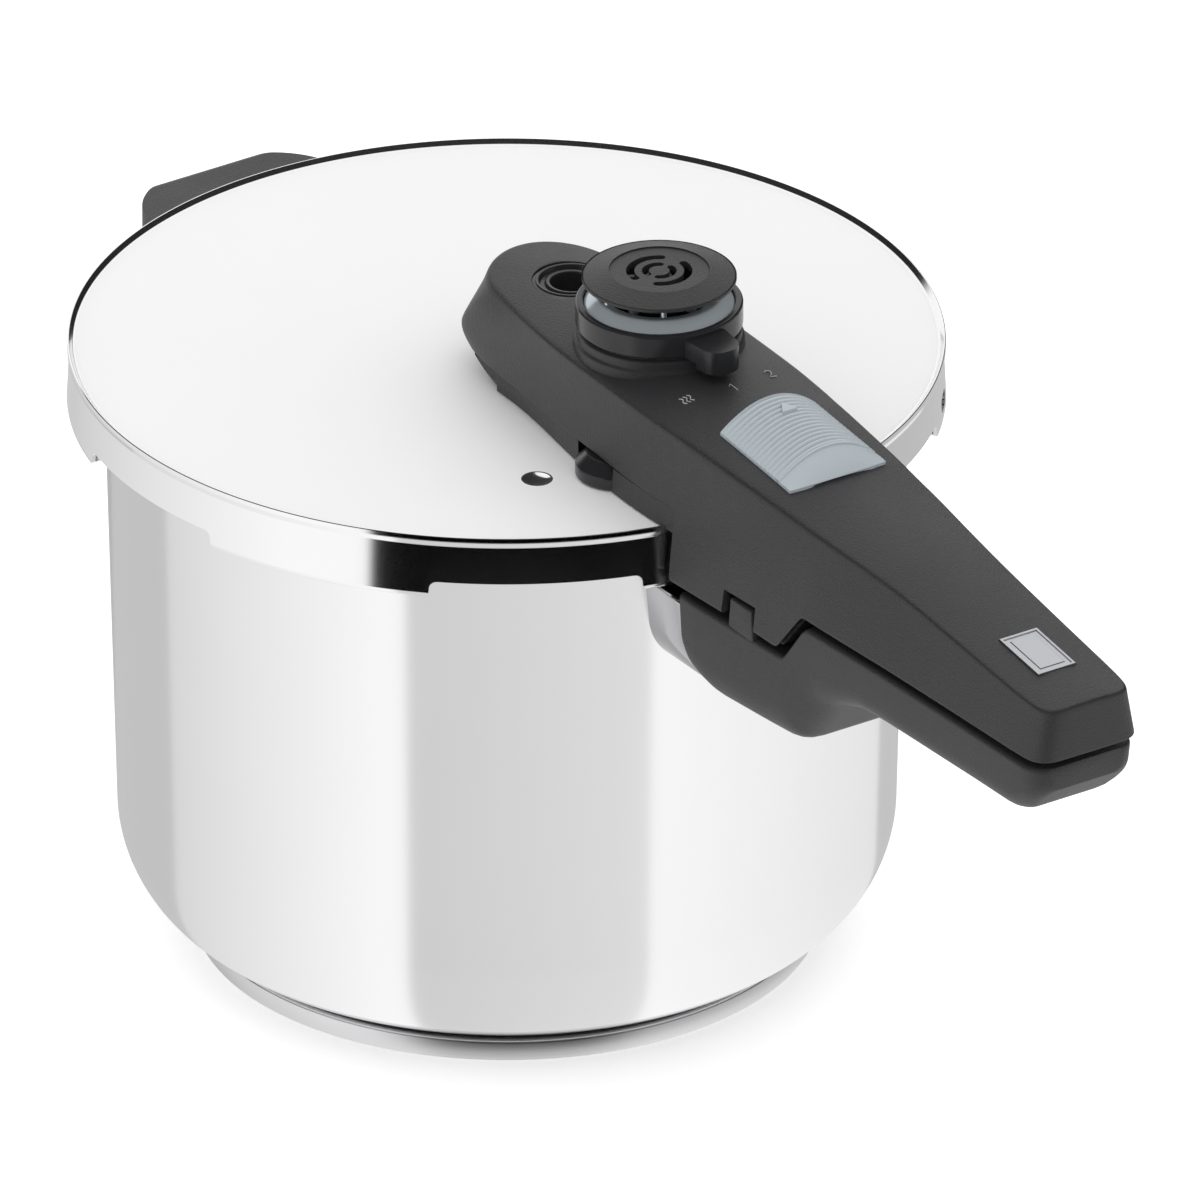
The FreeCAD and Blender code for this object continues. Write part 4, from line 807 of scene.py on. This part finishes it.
BUTTON_SIZE = (34.0, 15.75, 5.4)   # length, half width and rise of the lock button
BUTTON_SEAT = (24.0, 30.4)         # its middle, out from the lid's edge and above the lid
BUTTON_LEAN = 5.5
RIBS = 15
# One scallop of the ribbed top: share of the pitch, and depth below the dome.
SCALLOP = ((0.0, 0.85), (0.15, 0.36), (0.32, 0.07), (0.5, 0.0), (0.68, 0.07), (0.85, 0.36))


def button():
    """A domed thumb button: scalloped ribs across it, and a flat slanted face at its back."""
    length, wide, rise = BUTTON_SIZE
    half = length / 2
    lean = math.radians(BUTTON_LEAN)
    ribbed = length - 6.4
    pitch = ribbed / RIBS
    rows = [(-half, 0.0, 0.0), (-half + 0.05, 0.0, 0.0)]
    for i in range(RIBS):
        for share, dip in SCALLOP:
            rows.append((-half + 0.6 + pitch * (i + share), dip, 0.0))
    rows += [(half - 6.3, 0.5, 0.0), (half - 5.9, 0.05, 0.0), (half - 5.4, 0.0, 0.0)]
    rows += [(half - 5.25, 0.08, 0.0), (half - 5.2, 0.75, 0.02), (half - 4.9, 0.85, 0.06)]
    loops = [button_loop(place, dip, bulge, wide, rise, 1.0) for place, dip, bulge in rows]
    loops.append(button_loop(half - 2.4, 0.0, 1.3, wide, rise, 0.52))
    loops.append(button_loop(half - 0.2, 0.0, 2.4, wide, rise, 0.07))
    loops.append(button_loop(half, 0.0, 2.5, wide, rise, 0.0))
    bm = skin(loops)
    arrow = prism([(-12.0, 0.4), (-7.6, -2.1), (-7.6, 2.9)], lambda p: (p[0], p[1], rise - 1.6), (0, 0, 2.5))
    ease(arrow, arrow.edges, 0.2, 2)
    spot = (LID_R + BUTTON_SEAT[0], 0, LID_TOP + BUTTON_SEAT[1])
    seat = Matrix.Translation(spot) @ Matrix.Rotation(lean, 4, "Y")
    for shape, name, covers in ((bm, "button_ribbed", ("lock_button",)), (arrow, "button_arrow", ())):
        bmesh.ops.transform(shape, matrix=seat, verts=shape.verts)
        publish(name, shape, "lock", covers, "button_grey", 28)


def button_loop(place, dip, bulge, wide, rise, share):
    """A section of the button; share is how much of the dome's height is left."""
    top = []
    for step in range(25):
        y = wide * (step - 12) / 12
        dome = rise * (1 - (y / wide) ** 2)
        foot = -CROWN * y * y
        z = foot + (dome + 0.3) * share - dip * (0.35 + 0.65 * dome / rise)
        top.append((place + bulge * (1 - (y / wide) ** 2), y, z))
    under = [(x, y, -CROWN * y * y - 4.0) for x, y, _ in reversed(top)]
    return top + under


# ---- pot handle ----

GAP = 2.6                  # between the two handles
ROOT_LOW = -49.0           # underside of the root
ROOT = 3.4                 # where the root starts, out from the lid's edge
GRIP_TIP = 161.3
TOP_LINE = (
    (ROOT, -14.0 - GAP), (51.0, -14.0 - GAP, 2.0), (60.5, -1.1 - GAP, 4.0), (175.0, -5.0 - GAP),
)
LOW_LINE = (
    (ROOT, -36.0), (6.5, -43.5, 3.0), (16.0, ROOT_LOW + 2.0, 10.0), (50.5, ROOT_LOW + 3.2, 7.0),
    (63.5, -28.5, 8.0), (80.0, -22.9, 16.0), (149.5, -25.6, 13.0), (162.5, -12.5),
)


def line_height(line, place):
    """Height of an outline, with its corners rounded, at a place along the handle."""
    points = fillet(line)
    for low, high in zip(points, points[1:]):
        if low.x <= place <= high.x:
            return low.y + (high.y - low.y) * (place - low.x) / max(high.x - low.x, 1e-6)
    return points[-1].y


def grip_loop(place, draw_in=0.0):
    """A section of the pot handle: square-shouldered above, rounded below."""
    top = line_height(TOP_LINE, place) - draw_in
    low = line_height(LOW_LINE, place) + draw_in
    half = section(place)[3] - 0.4 - draw_in
    tip = GRIP_TIP - place
    if tip < 7.0:
        half -= 7.0 - math.sqrt(max(0.0, 49.0 - (7.0 - tip) ** 2))
    corner = max(0.6, min(15.0, 0.47 * (top - low), 0.86 * half))
    outline = fillet([(-half, top, 1.5), (-half + 1.2, low, corner),
                      (half - 1.2, low, corner), (half, top, 1.5)], 7)
    return [(LID_R + place, p.x, LID_TOP + p.y) for p in outline]



def pot_handle():
    """The long handle of the pot: deep at its root, with a finger step, then a plain grip."""
    places = [4.6 + 1.5 * step for step in range(32)] + [52.0 + 0.8 * step for step in range(40)]
    places += [84.0 + 3.5 * step for step in range(20)]
    places += [153.0, 154.6, 156.0, 157.4, 158.6, 159.6, 160.4, 161.0]
    loops = [[(x - 1.1, y * 0.955, z + (0.9 if z < LID_TOP - 30 else -1.0)) for x, y, z in grip_loop(4.6)]]
    loops += [[(x - 0.8, y * 0.985, z) for x, y, z in grip_loop(4.6, 0.2)]]
    loops += [grip_loop(place) for place in places]
    piece = publish("pot_handle_grip", skin(loops), "pot", ("pot_handle",),
                    "black_grained", 50)
    outline = [(TAB[0], -40.0), (TAB[1], -40.0), (TAB[1] - 0.6, TAB_TOP), (TAB[0] + 1.0, TAB_TOP)]
    outer = -section(TAB[0])[3] + 0.9
    bm = prism(outline, lambda p: (LID_R + p[0], outer, LID_TOP + max(p[1], -17.5)), (0, 3.2, 0))
    ease(bm, bm.edges, 0.6, 3)
    publish("pot_handle_tab", bm, "pot", (), "black_grained", 50)
    return piece



def tab_window():
    """Opening in the cover's wall, with a little room round the pot handle's tab."""
    outline = [
        (TAB[0] - 2.6, -30.0), (TAB[1] + 1.5, -30.0),
        (TAB[1] + 0.6, TAB_TOP + 1.5), (TAB[0] - 1.6, TAB_TOP + 1.5),
    ]
    return prism(outline, lambda p: (LID_R + p[0], -45, LID_TOP + p[1]), (0, 24, 0))


def ferrule():
    """Polished sleeve between the pot's wall and the handle's root."""
    def loop(place, inset):
        half = section(ROOT)[3] - 1.4 - inset
        outline = fillet([(-half, -20.0 - inset, 1.0), (-half + 3.0, ROOT_LOW + 0.8 + inset, 16.0 - inset),
                          (half - 3.0, ROOT_LOW + 0.8 + inset, 16.0 - inset), (half, -20.0 - inset, 1.0)], 12)
        return [(LID_R + place, p.x, LID_TOP + p.y) for p in outline]

    bm = skin([loop(-12.0, 0.9), loop(-14.0, 0.9), loop(-24.0, 0.9), loop(-24.0, 0), loop(-6.0, 0),
               loop(3.0, 0), loop(3.9, 0.4), loop(4.0, 0.9), loop(-12.0, 0.9)], False, False)
    piece = publish("ferrule_sleeve", bm, "pot", ("pot_handle_ferrule",),
                    "sleeve_steel", 40)
    low_wall = WALL_R - (RIM - 90) * math.tan(math.radians(WALL_LEAN)) + 0.02
    high_wall = WALL_R + 0.02
    cut(piece, lathe([(0, 90), (low_wall, 90), (high_wall, RIM), (high_wall, RIM + 5), (0, RIM + 5)]))
    return shade_by_angle(piece, 40)



# ---- marks on the cover ----

MARK_REACH = 36.0          # from the selector's middle to a mark's

def marks():
    """Two digits and a steam sign round the selector, which the cover has as thin cut lines: drawn here as
    thin tubes lying on the cover, in a grey that is a painted highlight of the cut lines' lit edges.
    """
    strokes = {
        0.0: [[(-0.5, 1.2), (0.35, 1.8), (0.35, -1.8)]],
        23.0: [[(-1.0, 1.1), (-0.5, 1.7), (0.4, 1.75), (0.9, 1.1), (0.6, 0.2), (-1.0, -1.75), (1.1, -1.75)]],
        -22.0: [[(shift + 0.35 * math.sin(rise * 2.2), rise * 0.9) for rise in
                 [-1.8 + 0.3 * step for step in range(13)]] for shift in (-1.2, 0.0, 1.2)],
    }
    for bearing, lines in strokes.items():
        turn = math.radians(bearing)
        x = VALVE.x + MARK_REACH * math.cos(turn)
        y = VALVE.y + MARK_REACH * math.sin(turn)
        shape = bpy.data.curves.new("mark", "CURVE")
        shape.dimensions = "3D"
        shape.bevel_depth = 0.17
        shape.bevel_resolution = 1
        shape.use_fill_caps = True
        for line in lines:
            path = shape.splines.new("POLY")
            path.points.add(len(line) - 1)
            for point, (right, up) in zip(path.points, line):
                px, py = x - up, y + right
                point.co = (px, py, LID_TOP + crown(px - LID_R, py) + 0.02, 1)
        holder = bpy.data.objects.new("mark", shape)
        bpy.context.scene.collection.objects.link(holder)
        settled = bpy.data.meshes.new_from_object(holder.evaluated_get(bpy.context.evaluated_depsgraph_get()))
        bm = bmesh.new()
        bm.from_mesh(settled)
        bpy.data.objects.remove(holder)
        bmesh.ops.recalc_face_normals(bm, faces=bm.faces)
        publish("mark_%d" % (bearing + 30), bm, "lid", (), "mark_grey", 60)


def springs():
    """Coil springs, copied from the CAD nodes with their triangles merged, each with a mesh of its own,
    riding on the lid.
    """
    for node, joint, axis, travel in (
        ("valve_spring", "valve_rise", Vector((0, 0, 1)), 3.0),
        ("relief_spring", "relief_rise", Vector((0, 0, 1)), 2.0),
        ("lock_spring", "lock_slide", Vector((-0.995396, 0, 0.095846)), 6.8),
    ):
        low, high = span(node)
        middle_point = (low + high) / 2
        length = (high.z - low.z) if joint != "lock_slide" else (high.x - low.x)
        end = middle_point + axis * (length / 2)
        piece = from_cad(node, "small_steel", "lid", 0)
        tuple(end * MM)
        (length - travel) / length
        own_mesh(piece)


def carried_over():
    """CAD nodes that keep their own mesh and take a finish."""
    for paint, nodes in CAD_FINISHES.items():
        for node in nodes:
            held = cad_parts[node]
            held.data.materials.clear()
            held.data.materials.append(FINISHES[paint])


# ---- everything ----

camera()
studio()
finishes()
floor()
pot()
base()
lid()
lid_handle()
pot_handle()
ferrule()
badge()
indicator_rings()
pedestal()
button()
marks()
springs()
carried_over()
for node, paint, body, slot, width in (
    ("lid_handle_base", "black_grained", "lid", "black_phenolic", 0.4),
    ("side_handle", "black_grained", "pot", "black_phenolic", 0.8),
    ("selector_collar", "black_smooth", "selector", "black_nylon", 0.3),
    ("selector_ring", "ring_grey", "selector", "grey_ring", 0.3),
    ("valve_cap", "black_grained", "valve", "black_nylon", 0.2),
    ("relief_body", "black_smooth", "lid", "black_nylon", 0.3),
):
    from_cad(node, paint, body, width)
